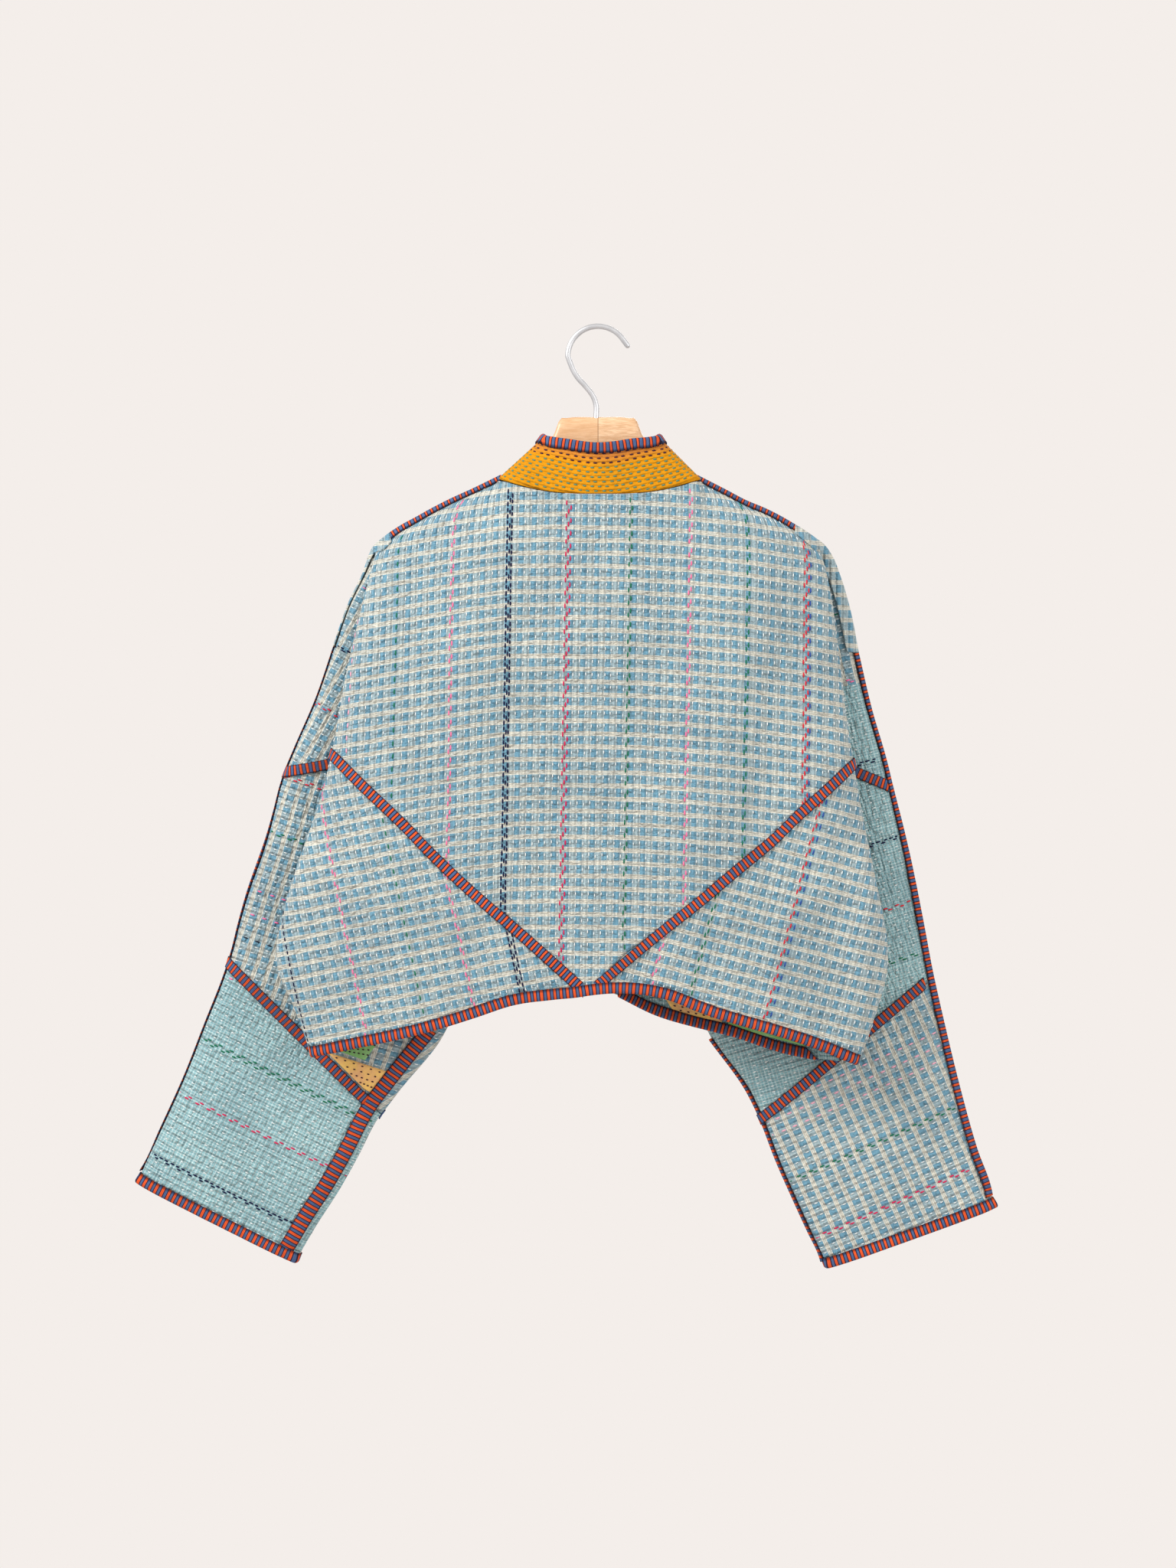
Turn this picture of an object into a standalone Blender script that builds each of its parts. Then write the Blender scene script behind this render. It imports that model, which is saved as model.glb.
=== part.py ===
"""A quilted, patched short jacket on a wooden hanger, hung flat with its back to the viewer.

Metres, +Z up. The origin is the inside top of the hanger's hook, where a wall pin carries it.
The garment's back faces -Y and its front faces the wall at +Y. Guide curves are in millimetres
and become metres where a mesh is made. Each cloth piece is a grid of sections: a NumPy array of
points, rows by columns, that a Solidify modifier turns into a wall. Each binding strip is made
from the edge points of the panels under it, moved out.
"""
import math

import bmesh
import bpy
import numpy as np

MM = 0.001
CLOTH = 2.4
TAPE = 1.2
SEAM_GAP = 0.4
SLANT_GAP = 0.6
TURN_GAP = 2.2
SIDE_SEAM_GAP = 2.0
LAY_GAP = 0.45
CLOSE_LAY_GAP = 0.8
RIDGE_GAP = 3.0
TAPE_HALF = 4.8
EDGE_LEG = 8.6

# Depths of the hung body: height against Y for its back, its side folds and its wall side.
BACK_DEPTH = [(-690, -33), (-450, -35), (-260, -34), (-200, -31), (-157, -28)]
FOLD_DEPTH = [(-690, -4), (-400, -3), (-300, 1), (-235, 5), (-205, 8)]
FRONT_DEPTH = 18.0
FLAT_TUBE_POWER = 4.0

# The sleeves' middle depth and half thickness, against height.
SLEEVE_DEPTH = [(-885, 30), (-700, 36), (-622, 38), (-500, 36), (-404, 32), (-300, 27), (-250, 23.5), (-225, 20.5),
                (-207, 17)]
SLEEVE_HALF = [(-885, 12), (-622, 13), (-404, 13), (-300, 11), (-250, 8.5), (-225, 5), (-207, 2.4)]

# Shoulders and neck. The back neck and the front neck give height against distance from the centre.
TIP_X = 208.0
TIP_SET_BACK = 8.0
VALLEY_TOP_X = 204.0
NECK_X = 96.9
NECK_BACK_Y = -27.0
BACK_NECK = [(0, -158), (20, -158), (50, -155.4), (77, -149.4), (90, -145.3), (97, -143.6)]
FRONT_NECK = [(0, -252), (6, -247), (30, -226), (60, -198), (85, -168), (97, -143.6)]
CENTRE_LINE = [(-624, -8), (-400, -2), (-157, 3)]
FRONT_EDGE_X = 4.0

# The collar: a cone-shaped stand band.
COLLAR_TOP_X = 53.0
COLLAR_BACK_Y = -20.0
COLLAR_FRONT_Y = 15.0
COLLAR_RISE = 5.0
COLLAR_TOP_Z = -107.0
COLLAR_FRONT_HEIGHT = 40.0

# Columns of the back and the front, from the centre (0) to the side fold (1), and rows down a panel.
COLUMNS = (0, 0.019, 0.058, 0.1365, 0.215, 0.245, 0.2693, 0.34, 0.42, 0.5, 0.58, 0.66, 0.74, 0.82, 0.91, 1.0)
NECK_COLUMN = 6
SHOULDER_END_COLUMN = 13
WRAP = (1 / 3, 2 / 3, 1.0)
SLEEVE_COLUMNS = 10
SIDE_SEAM_ROWS = 4

# The hanger.
HOOK_RADIUS = 28.4
HOOK_CENTRE_Z = -25.8
HOOK_WIRE = 2.6
SHANK = [(-23.8, -37.7), (-18.9, -45.9), (-12, -53.5), (-5.1, -62.4), (-1.7, -72.1), (-1.7, -83.1), (-1.7, -97)]
BORE_GAP = 0.3
BAR_TOP = [(0, -83), (30, -83.6), (36, -85), (41, -98), (45, -106), (50, -114), (60, -123), (75, -135), (97, -150.5),
           (133, -166.8), (164, -180.3), (188, -194.3), (197, -200.3)]
BAR_BOTTOM = [(0, -127), (40, -129), (60, -134), (97, -168), (133, -184), (164, -196), (188, -207), (197, -211)]
BAR_HALF_DEPTH = [(0, 6.5), (38, 6.5), (46, 4.4), (105, 4.2), (150, 4.6), (185, 3.6), (197, 3)]
BAR_SET_BACK = [(0, 0), (38, 0), (46, -2.5), (105, -2.5), (150, 0), (197, 0)]


class Side:
    """One half of the garment: its sign along X, and its guide curves in millimetres."""

    def __init__(self, name, sign, **curves):
        self.name = name
        self.sign = sign
        for key, value in curves.items():
            setattr(self, key, value)


def through(table):
    """A smooth curve through a table of (key, value), held flat past its ends."""
    rows = sorted(table)
    keys = np.array([row[0] for row in rows], float)
    values = np.array([row[1] for row in rows], float)
    slopes = np.gradient(values, keys)

    def read(key):
        key = min(max(key, keys[0]), keys[-1])
        i = int(min(max(np.searchsorted(keys, key) - 1, 0), len(keys) - 2))
        span = keys[i + 1] - keys[i]
        t = (key - keys[i]) / span
        start = (1 + 2 * t) * (1 - t) ** 2 * values[i] + t * (1 - t) ** 2 * span * slopes[i]
        end = t * t * (3 - 2 * t) * values[i + 1] + t * t * (t - 1) * span * slopes[i + 1]
        return start + end

    return read


# Each side's curves: X of the side fold, the top of the arm, the hidden valley between body and
# sleeve and the under-arm line against height, and heights of the shoulder and the slanting seams
# against distance from the centre.
LEFT = Side(
    "left",
    -1,
    shoulder=through([(90, -141), (116, -153.5), (145, -167), (172, -181.6), (188, -190.5), (201, -200.5), (208, -208)]),
    fold=through([(-208, 208), (-254, 219.6), (-328, 236.6), (-396, 248.5), (-436, 258), (-516, 285), (-575, 300),
                  (-593, 301.3), (-609, 297.8), (-643, 282), (-678, 270.5), (-686, 269)]),
    arm=through([(-208, 210), (-229, 219), (-270, 239), (-297, 248), (-351, 267), (-385, 282), (-419, 296.5),
                 (-470, 311), (-540, 335), (-600, 351), (-669, 377.5), (-721, 398), (-779, 425), (-806, 437)]),
    valley=through([(-208, 204), (-250, 209), (-300, 214), (-404, 227), (-450, 205), (-510, 163), (-560, 125)]),
    under=through([(-560, 125), (-610, 126), (-655, 140), (-698, 172), (-742, 206.5), (-799, 236.5), (-864, 277.5),
                   (-881, 287)]),
    back_seam=through([(0, -628), (24, -609), (59, -578.7), (90, -552), (118, -528),
                       (150, -498), (184, -463), (221, -428), (250, -399)]),
    front_seam=through([(0, -590), (60, -582), (125, -560)]),
    arm_z=(-212, -417, -599, -806),
    under_z=(-217, -404, -742, -881),
    fork=(125.0, -560.0),
    hem_corner=(256.0, -678.0),
    arm_seam=-1.5,
    under_seam=14.0,
)
RIGHT = Side(
    "right",
    1,
    shoulder=through([(100, -144.4), (133, -162.5), (164, -176.1), (188, -189.8), (201, -199), (208, -206)]),
    fold=through([(-206, 208), (-228, 214), (-302, 225.2), (-374, 233.7), (-408, 239), (-453, 246.5), (-522, 260.7),
                  (-583, 271), (-604, 270.5), (-625, 266.6), (-643, 260), (-669, 252), (-692, 242)]),
    arm=through([(-206, 210), (-214, 216), (-254, 232), (-311, 245), (-374, 261), (-399, 269), (-428, 276.5),
                 (-485, 291), (-547, 304), (-607, 315.5), (-682, 332.5), (-747, 349), (-806, 367.5), (-829, 377)]),
    valley=through([(-208, 204), (-250, 206), (-300, 209), (-405, 218), (-450, 190), (-510, 136), (-560, 88)]),
    under=through([(-560, 88), (-610, 87), (-655, 98.5), (-697, 131), (-740, 154.5), (-781, 170.5), (-843, 198),
                   (-886, 218)]),
    back_seam=through([(0, -624), (22, -597), (56, -567.9), (92, -539.3), (128, -508.8), (163, -480.2), (185, -458.6),
                       (213, -433.6), (240, -408)]),
    front_seam=through([(0, -590), (45, -582), (88, -560)]),
    arm_z=(-214, -431, -612, -829),
    under_z=(-219, -405, -745, -886),
    fork=(88.0, -560.0),
    hem_corner=(230.0, -688.5),
    arm_seam=1.0,
    under_seam=-1.0,
)
SIDES = (LEFT, RIGHT)

# Lower edges of the cloth: height against X.
BACK_HEM = through([(-271, -683), (-240, -676), (-188, -664.5), (-153, -655.3), (-102, -639.5), (-74, -630.6),
                    (-24, -625.2), (0, -621.8), (30, -621), (66, -627), (102, -641.3), (137, -652), (173, -662.8),
                    (209, -675.4), (242, -689.5)])
FRONT_HEM = through([(-271, -682), (-240, -673), (-153, -651), (-60, -627), (0, -622), (30, -629), (59, -645),
                     (98, -657.5), (127, -665), (173, -680), (209, -687), (242, -690)])

FORK_ROW = 1.46
FORK_BLEND = 0.28
CREASE_SPREAD = 95.0

back_depth = through(BACK_DEPTH)
fold_depth = through(FOLD_DEPTH)
sleeve_depth = through(SLEEVE_DEPTH)
sleeve_half = through(SLEEVE_HALF)
back_neck = through(BACK_NECK)
front_neck = through(FRONT_NECK)
centre_line = through(CENTRE_LINE)


def mix(a, b, share):
    return a + (b - a) * share


def ease(share):
    share = min(max(share, 0.0), 1.0)
    return share * share * (3 - 2 * share)


def unit(vector):
    return vector / np.linalg.norm(vector, axis=-1, keepdims=True)


def bulge(share):
    """1 in the middle of a flattened tube, falling steeply to 0 at share 1."""
    return math.sqrt(max(0.0, 1 - min(abs(share), 1.0) ** FLAT_TUBE_POWER))


def share_of(column):
    """Share of the way from the centre to the fold. Columns crowd at the fold and turn back past 1."""
    return 1 - (1 - column) ** 2


def settle(height_at, place_at, start=-400.0):
    """The height at which a slanting column meets an edge whose height depends on its place."""
    height = start
    for _ in range(14):
        height = height_at(place_at(height))
    return height


def ridge_y(x):
    """Y of the shoulder seam, which follows the hanger's arms."""
    return TIP_SET_BACK * (abs(x) / TIP_X) ** 2


def neck_arc(out, power=0.3):
    """1 at the centre of the neckline, 0 at the neck points, seen from above."""
    return max(0.0, 1 - (out / NECK_X) ** 2) ** power


def fall(down, out, reach, neck_end):
    """Share of its full depth that a panel has reached at `down` millimetres below its top edge."""
    at_neck = 1 - ease((out - neck_end) / 45)
    return (1 - math.exp(-max(0.0, down) / mix(reach, 45.0, at_neck))) ** mix(0.6, 1.0, at_neck)


def back_x(side, column, z):
    return mix(centre_line(z), side.sign * side.fold(z), share_of(column))


def back_top(side, column):
    """Height and Y of the back panel's top edge."""
    out = TIP_X * share_of(column)
    if out < NECK_X:
        return back_neck(out), mix(ridge_y(NECK_X), NECK_BACK_Y, neck_arc(out))
    top = settle(side.shoulder, lambda z: abs(back_x(side, column, z)), -180.0)
    return top, ridge_y(back_x(side, column, top)) - RIDGE_GAP / 2


def hem_wave(side, share, z):
    """The soft drape waves of the back panels, strongest at the hem."""
    low = ease((-z - 330) / 300)
    phase = 1.3 if side.sign > 0 else 0.4
    return low * 5.0 * math.sin(share * 9.0 + phase) * bulge(share) * share


def back_point(side, column, z):
    """The body's back, from the centre (column 0) to the side fold (column 1)."""
    share = share_of(column)
    full = mix(fold_depth(z), back_depth(z), bulge(share)) + hem_wave(side, share, z)
    top_z, top_y = back_top(side, column)
    y = mix(top_y, full, fall(top_z - z, TIP_X * share, 32.0, 60.0))
    return np.array([back_x(side, column, z), y, z])


def rear_y(side, out, z):
    """Y of the body's wall-side layer."""
    return mix(fold_depth(z), FRONT_DEPTH, bulge(out / side.fold(z)))


def wrap_point(side, fold_z, end_out, end_z, share):
    """The cloth turned round the side fold, between the fold and its hidden end."""
    last = math.sqrt(max(0.0, 1 - end_out / side.fold(end_z)))
    z = mix(fold_z, end_z, share ** 2)
    out = side.fold(z) * (1 - (last * share) ** 2)
    return np.array([side.sign * out, rear_y(side, out, z), z])


def crease_y(side, z):
    """Y of the sleeve's front over the valley, pinched in at the fork under the arm."""
    open_share = ease((z - side.fork[1]) / 120.0)
    return mix(FRONT_DEPTH + 2 * CLOTH + 2 * SEAM_GAP, sleeve_depth(z) + sleeve_half(z), open_share)


def crease_gap(side, z):
    """Room between the front and the sleeve's front, widest where the valley runs aslant above the fork."""
    return mix(4.5, 0.8, ease((z - side.fork[1]) / 190.0))


def front_out(side, share, z):
    return mix(FRONT_EDGE_X, side.valley(z) - crease_gap(side, z), share)


def front_top(side, share):
    """Height and Y of the front panel's top edge."""
    out = mix(FRONT_EDGE_X, VALLEY_TOP_X, share)
    if out < NECK_X:
        return front_neck(out), mix(ridge_y(NECK_X), FRONT_DEPTH, neck_arc(out, 0.2))
    top = settle(side.shoulder, lambda z: front_out(side, share, z), -180.0)
    return top, ridge_y(front_out(side, share, top)) + RIDGE_GAP / 2


def front_point(side, share, z):
    """The front above the fork, from the front edge (share 0) to the arm seam (share 1)."""
    out = front_out(side, share, z)
    lift = ease((out - side.valley(z) + CREASE_SPREAD) / CREASE_SPREAD)
    end_y = mix(FRONT_DEPTH, crease_y(side, z), ease((z - side.fork[1]) / 60.0))
    full = mix(FRONT_DEPTH, end_y, lift)
    top_z, top_y = front_top(side, share)
    top_out = mix(FRONT_EDGE_X, VALLEY_TOP_X, share)
    y = mix(top_y, full, fall(top_z - z, top_out, mix(12.0, 4.0, ease((top_out - 150) / 50)), 35.0))
    return np.array([side.sign * out + front_shift(out, z), y, z])


def front_shift(out, z):
    return centre_line(z) * (1 - ease(out / 140))


def sleeve_row(side, row):
    """Ends of a sleeve row, as (out, z) on the arm line and on the valley or under-arm line.

    Row 0 is at the shoulder tip, 1 at the mid-arm seam, 2 at the elbow seam and 3 at the cuff."""
    arm_z = np.interp(row, (0, 1, 2, 3), side.arm_z)
    keys = (0, 1, FORK_ROW, 2, 3)
    inner_z = np.interp(row, keys, (*side.under_z[:2], side.fork[1], *side.under_z[2:]))
    inner = side.valley(inner_z) if row <= FORK_ROW else side.under(inner_z)
    return side.arm(arm_z), arm_z, inner, inner_z


def sleeve_point(side, row, ring):
    """A point of the sleeve. Ring 0 is the arm line, 0 to 1 the back, 1 the under-arm line, 1 to 2 the front."""
    ring = ring % 2
    front = ring > 1
    t = 0.5 - 0.5 * math.cos(math.pi * (2 - ring if front else ring))
    arm, arm_z, inner, inner_z = sleeve_row(side, row)
    out = mix(arm, inner, t)
    z = mix(arm_z, inner_z, t)
    face = sleeve_half(z) if front else -sleeve_half(z)
    if t < 0.5:
        y = sleeve_depth(z) + face * bulge(1 - 2 * t)
    else:
        y = mix(sleeve_end_y(side, row, front, z, inner, inner_z), sleeve_depth(z) + face, bulge(2 * t - 1))
    return np.array([side.sign * out, y, z])


def sleeve_end_y(side, row, front, z, inner, inner_z):
    """Y of the sleeve's inner end: parted above the fork, closed below it."""
    if row <= FORK_ROW:
        stacked = mix(1.6, 1.0, ease(row / 0.5)) * CLOTH + SEAM_GAP
        return crease_y(side, inner_z) if front else rear_y(side, inner, inner_z) + stacked
    closed = ease((row - FORK_ROW) / FORK_BLEND)
    middle = mix(FRONT_DEPTH + 1.5 * (CLOTH + SEAM_GAP), sleeve_depth(z), closed)
    half = (CLOTH + SEAM_GAP) / 2 * (1 - closed)
    return middle + (half if front else -half)


def ring_at(width, inside):
    """Ring angle at `inside` millimetres from the arm line, seen from the back; negative is in front."""
    return math.copysign(math.acos(1 - 2 * min(abs(inside) / width, 0.5)) / math.pi, inside)


def seam_rings(side, row):
    """Ring places of the top-arm seam and the under-arm seam in a row."""
    arm, arm_z, inner, inner_z = sleeve_row(side, row)
    width = math.hypot(arm - inner, arm_z - inner_z)
    arm_seam = ring_at(width, side.arm_seam)
    under_seam = 1 - ring_at(width, side.under_seam) * ease((row - FORK_ROW) / FORK_BLEND)
    return arm_seam, under_seam, TURN_GAP / 2 / (width * 0.42)


# Panels: arrays of points, rows by columns.


def down_rows(top, low, first, last, count, power=1.0):
    """Heights down a panel: its edges, a row `first` below the top and one `last` above the low edge."""
    height = top - low
    first = min(first, 0.4 * height)
    last = min(last, 0.4 * height)
    inner = [mix(top - first, low + last, (i / (count - 3)) ** power) for i in range(count - 2)]
    return [top, *inner, low]


def yoke_side(side):
    """Half of the back yoke: columns from the centre to the fold and on round it to the valley."""
    columns = []
    for column in COLUMNS:
        top = back_top(side, column)[0]
        low = settle(
            lambda x, column=column: max(back_seam_z(side, x) + SLANT_GAP / 2, BACK_HEM(x)),
            lambda z, column=column: back_x(side, column, z),
        )
        heights = down_rows(top, low, 8.0, 9.0, 9, 1.35)
        columns.append([back_point(side, column, z) for z in heights])
    ends = down_rows(side.under_z[0] + 3, side.under_z[1] + SEAM_GAP / 2, 8.0, 9.0, 9, 1.35)
    for share in WRAP:
        columns.append([
            wrap_point(side, fold_z, side.valley(end_z), end_z, share) for fold_z, end_z in zip(heights, ends)
        ])
    return np.array(columns).transpose(1, 0, 2)


def back_seam_z(side, x):
    return side.back_seam(abs(x - centre_line(-624)) if abs(x) < 60 else abs(x))


def back_yoke():
    left, right = yoke_side(LEFT), yoke_side(RIGHT)
    return np.concatenate([left[:, :0:-1], right], axis=1)


def side_seam(side, gap):
    """The side seam from the fork to the hem corner. A positive gap moves it towards the back's side."""
    start = np.array([side.fork[0], side.fork[1] - 2])
    line = np.array(side.hem_corner) - start
    square = unit(np.array([-line[1], line[0]])) * gap
    return [tuple(start + line * i / SIDE_SEAM_ROWS + square) for i in range(SIDE_SEAM_ROWS + 1)]


def valley_rows(side, parts):
    """Heights of the sleeve's own rows where they meet the valley, down to the fork."""
    rows = sorted({row for part in parts for row in SLEEVE_ROWS[part] if row < FORK_ROW})
    return [sleeve_row(side, row)[3] for row in rows]


def lower_ends(side):
    """Hidden ends of a lower back's rows: down the valley to the fork, then out along the side seam."""
    heights = valley_rows(side, ["middle"])
    heights[0] -= SEAM_GAP / 2
    return [(side.valley(z) + SEAM_GAP / 2, z) for z in heights] + side_seam(side, SIDE_SEAM_GAP / 2)


def lower_back(side):
    """A lower back: from beside the hem's centre to the fold, and round it to the valley and side seam."""
    columns = []
    for column in COLUMNS[1:]:
        top = settle(lambda x: back_seam_z(side, x) - SLANT_GAP / 2, lambda z, c=column: back_x(side, c, z))
        low = settle(BACK_HEM, lambda z, c=column: back_x(side, c, z))
        heights = down_rows(top, low, 9.0, 10.0, len(lower_ends(side)))
        columns.append([back_point(side, column, z) for z in heights])
    for share in WRAP:
        columns.append([
            wrap_point(side, fold_z, end_out, end_z, share)
            for fold_z, (end_out, end_z) in zip(heights, lower_ends(side))
        ])
    return np.array(columns).transpose(1, 0, 2)


def front_shares():
    """Columns of the front, under the back's own columns along the shoulder."""
    span = VALLEY_TOP_X - FRONT_EDGE_X
    shares = [max(0.0, TIP_X * share_of(column) - FRONT_EDGE_X) / span for column in COLUMNS[:SHOULDER_END_COLUMN + 1]]
    return [*shares, 1.0]


def front_low(side, share):
    """Height of the front yoke's low edge in a column."""
    return settle(lambda out: side.front_seam(out) + SLANT_GAP / 2, lambda z: front_out(side, share, z))


def front_yoke(side):
    """A front yoke: its last column lies on the sleeve's own rows, along the arm seam."""
    arm_rows = valley_rows(side, ["upper", "middle"])
    columns = []
    for share in front_shares():
        top = front_top(side, share)[0]
        low = front_low(side, share)
        heights = down_rows(top, low, 8.0, 9.0, len(arm_rows) + 2, 1.2)
        if share == 1.0:
            heights = [*heights[:2], *arm_rows[:-1], low]
        columns.append([front_point(side, share, z) for z in heights])
    return np.array(columns).transpose(1, 0, 2)


def lower_front(side):
    """A lower front: from the front edge to the side seam, below the front yoke."""
    ends = side_seam(side, -SIDE_SEAM_GAP / 2)
    shares = front_shares()
    corner = ends[0][0]
    slides = [front_out(side, share, front_low(side, share)) - mix(FRONT_EDGE_X, corner, share) for share in shares]
    rows = []
    for i, (end_out, end_z) in enumerate(ends):
        share_down = i / SIDE_SEAM_ROWS
        row = []
        for share, slide in zip(shares, slides):
            out = mix(FRONT_EDGE_X, end_out, share) + slide * (1 - share_down) ** 2
            z = front_row_z(side, out, share_down)
            z += (end_z - front_row_z(side, end_out, share_down)) * share ** 3 * min(i, 1)
            row.append(np.array([side.sign * out + front_shift(out, z), rear_y(side, out, z), z]))
        rows.append(row)
    return np.array(rows)


def front_row_z(side, out, share_down):
    return mix(side.front_seam(out) - SLANT_GAP / 2, FRONT_HEM(side.sign * out), share_down)


SLEEVE_ROWS = {
    "upper": (0, 0.08, 0.22, 0.42, 0.66, 0.9, 1),
    "middle": (1, 1.08, 1.2, 1.33, 1.45, 1.48, 1.62, 1.78, 1.93, 2),
    "cuff": (2, 2.06, 2.28, 2.52, 2.76, 2.93, 3),
}


def sleeve_panel(side, part, front):
    """Half of a sleeve section: the back from arm seam to under seam, or the front likewise."""
    rows = []
    stations = SLEEVE_ROWS[part]
    for i, row in enumerate(stations):
        trim = SEAM_GAP / 2 / 190
        row += trim if i == 0 else -trim if i == len(stations) - 1 and row < 3 else 0
        arm_ring, under_ring, gap = seam_rings(side, row)
        start, end = (2 + arm_ring - gap, under_ring + gap) if front else (arm_ring + gap, under_ring - gap)
        if row <= FORK_ROW:
            end = 1 + 1e-6 if front else 1.0
        steps = [k / SLEEVE_COLUMNS for k in range(SLEEVE_COLUMNS + 1)]
        rows.append([sleeve_point(side, row, mix(start, end, step)) for step in steps])
    return np.array(rows)


def collar_side(side):
    """Half of the collar, as two rows: its base along the neckline and its top edge."""
    stations = []
    for column in COLUMNS[:NECK_COLUMN + 1]:
        z, y = back_top(side, column)
        out = TIP_X * share_of(column)
        x = back_x(side, column, z)
        arc = neck_arc(out)
        top = (COLLAR_TOP_X * out / NECK_X, mix(2.0, COLLAR_BACK_Y, arc), COLLAR_TOP_Z + COLLAR_RISE * (1 - arc))
        stations.append((x, y if arc > 0.1 else ridge_y(x), z, top, 1 - arc))
    for share in reversed(front_shares()[:NECK_COLUMN]):
        z, y = front_top(side, share)
        out = mix(FRONT_EDGE_X, VALLEY_TOP_X, share)
        x = front_point(side, share, z)[0]
        arc = neck_arc(out, 0.2)
        lean = mix(FRONT_EDGE_X, COLLAR_TOP_X, (out - FRONT_EDGE_X) / (NECK_X - FRONT_EDGE_X))
        stations.append((x, y, z, (lean, mix(2.0, COLLAR_FRONT_Y, arc), z + COLLAR_FRONT_HEIGHT), 0.5))
    columns = []
    for x, y, z, (top_out, top_y, top_z), slope in stations:
        base = np.array([x, y, z])
        top = np.array([centre_line(-157) + side.sign * top_out, top_y, top_z])
        base = base + unit(top - base) * mix(0.7, 2.6, slope)
        columns.append([top, mix(base, top, 0.5), base])
    return np.array(columns).transpose(1, 0, 2)


def collar():
    return np.concatenate([collar_side(LEFT)[:, :0:-1], collar_side(RIGHT)], axis=1)


# Bindings: strips on the panels' own edge points.


def facing(normals, outward):
    """Turns all normals of a strip together so that its middle one looks outward."""
    middle = normals[len(normals) // 2]
    return normals if np.dot(middle, outward) > 0 else -normals


def mitre(line):
    """How much further a corner of a bent strip is moved out than its straight runs."""
    runs = unit(np.diff(line, axis=0))
    half_turns = np.linalg.norm(runs[1:] + runs[:-1], axis=1) / 2
    return 1 / np.clip(np.concatenate([[1], half_turns, [1]]), 0.6, 1)[:, None]


def seam_strip(edge_a, inside_a, edge_b, inside_b, outward, lay=LAY_GAP, half_a=TAPE_HALF):
    """Binding laid over a seam: three rows, each moved out from the panel under it."""
    middle = (edge_a + edge_b) / 2
    along = unit(np.gradient(middle, axis=0))
    rows, normals = [], []
    for edge, inside, turn, half in ((edge_a, inside_a, 1, half_a), (edge_b, inside_b, -1, TAPE_HALF)):
        way = unit(inside - edge)
        across = np.linalg.norm(np.cross(way, along), axis=1, keepdims=True)
        normals.append(facing(unit(np.cross(way, along)) * turn, outward))
        rows.append(edge + way * half / np.maximum(across, 0.5))
    off = (CLOTH / 2 + lay + TAPE / 2) * mitre(middle)
    ridge = unit(normals[0] + normals[1])
    spread = np.maximum(np.sum(ridge * normals[0], axis=1, keepdims=True), 0.5)
    dips = [np.sum((middle - edge) * normal, axis=1, keepdims=True) for edge, normal in zip((edge_a, edge_b), normals)]
    height = (off - np.minimum(*dips)) / spread
    return np.array([rows[0] + normals[0] * off, middle + ridge * height, rows[1] + normals[1] * off])


def edge_strip(edge, inside, outward):
    """Binding folded over a free edge: four rows, a square U round the cloth."""
    along = unit(np.gradient(edge, axis=0))
    way = unit(edge - inside)
    normal = facing(unit(np.cross(along, way)), outward)
    away = way / np.maximum(np.linalg.norm(np.cross(way, along), axis=1, keepdims=True), 0.5)
    off = normal * (CLOTH / 2 + LAY_GAP + TAPE / 2) * mitre(edge)
    leg = edge - away * EDGE_LEG
    tip = edge + away * (LAY_GAP + TAPE / 2)
    return np.array([leg + off, tip + off, tip - off, leg - off])


def joined_rows(parts, column):
    """One column of a sleeve's three sections, read down the whole sleeve without its doubled seam rows."""
    upper, middle, cuff = (part[:, column] for part in parts)
    return np.concatenate([upper, middle[1:], cuff[1:]])


def shoulder_strip(side, yoke, front, backs, fronts):
    """Binding from the neck along the shoulder seam, over its tip and down the top of the arm."""
    span = slice(NECK_COLUMN, SHOULDER_END_COLUMN + 1)
    top = seam_strip(yoke[0, span], yoke[1, span], front[0, span], front[1, span], (0, 0, 1))
    edges = [joined_rows(parts, column)[:-1] for parts in (backs, fronts) for column in (0, 1)]
    room = np.array([[side.arm(z) - side.fold(z)] for z in edges[0][:, 2]])
    arm = seam_strip(*edges, (side.sign, 0, 0.3), CLOSE_LAY_GAP, np.clip(room * 0.5 - 4.0, 0.8, TAPE_HALF))
    tip = (top[:, -1:] + arm[:, :1]) / 2 + np.array([[-3.5], [-1.0], [-1.0]])[..., None] * (0, 1, 0)
    tip += np.array([side.sign * 3.0, 0, 4.5])
    return np.concatenate([top, tip, arm], axis=1)


def under_strip(backs, fronts):
    edges = []
    for parts in (backs, fronts):
        for column in (-1, -2):
            line = joined_rows(parts, column)
            edges.append(line[len(SLEEVE_ROWS["upper"]) + 6:-1])
    return edges


def new_object(name, mesh, cloth):
    mesh.materials.append(cloth)
    made = bpy.data.objects.new(name, mesh)
    bpy.data.collections["patched_jacket"].objects.link(made)
    return made


def wall(name, points, cloth, thickness=CLOTH, closed=False):
    """A cloth wall through a grid of points in millimetres."""
    rows, columns = points.shape[:2]
    grid = bmesh.new()
    bmesh.ops.create_grid(grid, x_segments=columns - 1, y_segments=rows - 1, size=0.5)
    for vertex in grid.verts:
        column = round((vertex.co.x + 0.5) * (columns - 1))
        row = round((vertex.co.y + 0.5) * (rows - 1))
        vertex.co = points[row, column] * MM
    if closed:
        bmesh.ops.remove_doubles(grid, verts=grid.verts, dist=0.00005)
    mesh = bpy.data.meshes.new(name)
    grid.to_mesh(mesh)
    grid.free()
    mesh.shade_smooth()
    made = new_object(name, mesh, cloth)
    solid = made.modifiers.new("wall", "SOLIDIFY")
    solid.thickness = thickness * MM
    solid.offset = 0
    return made


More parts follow.
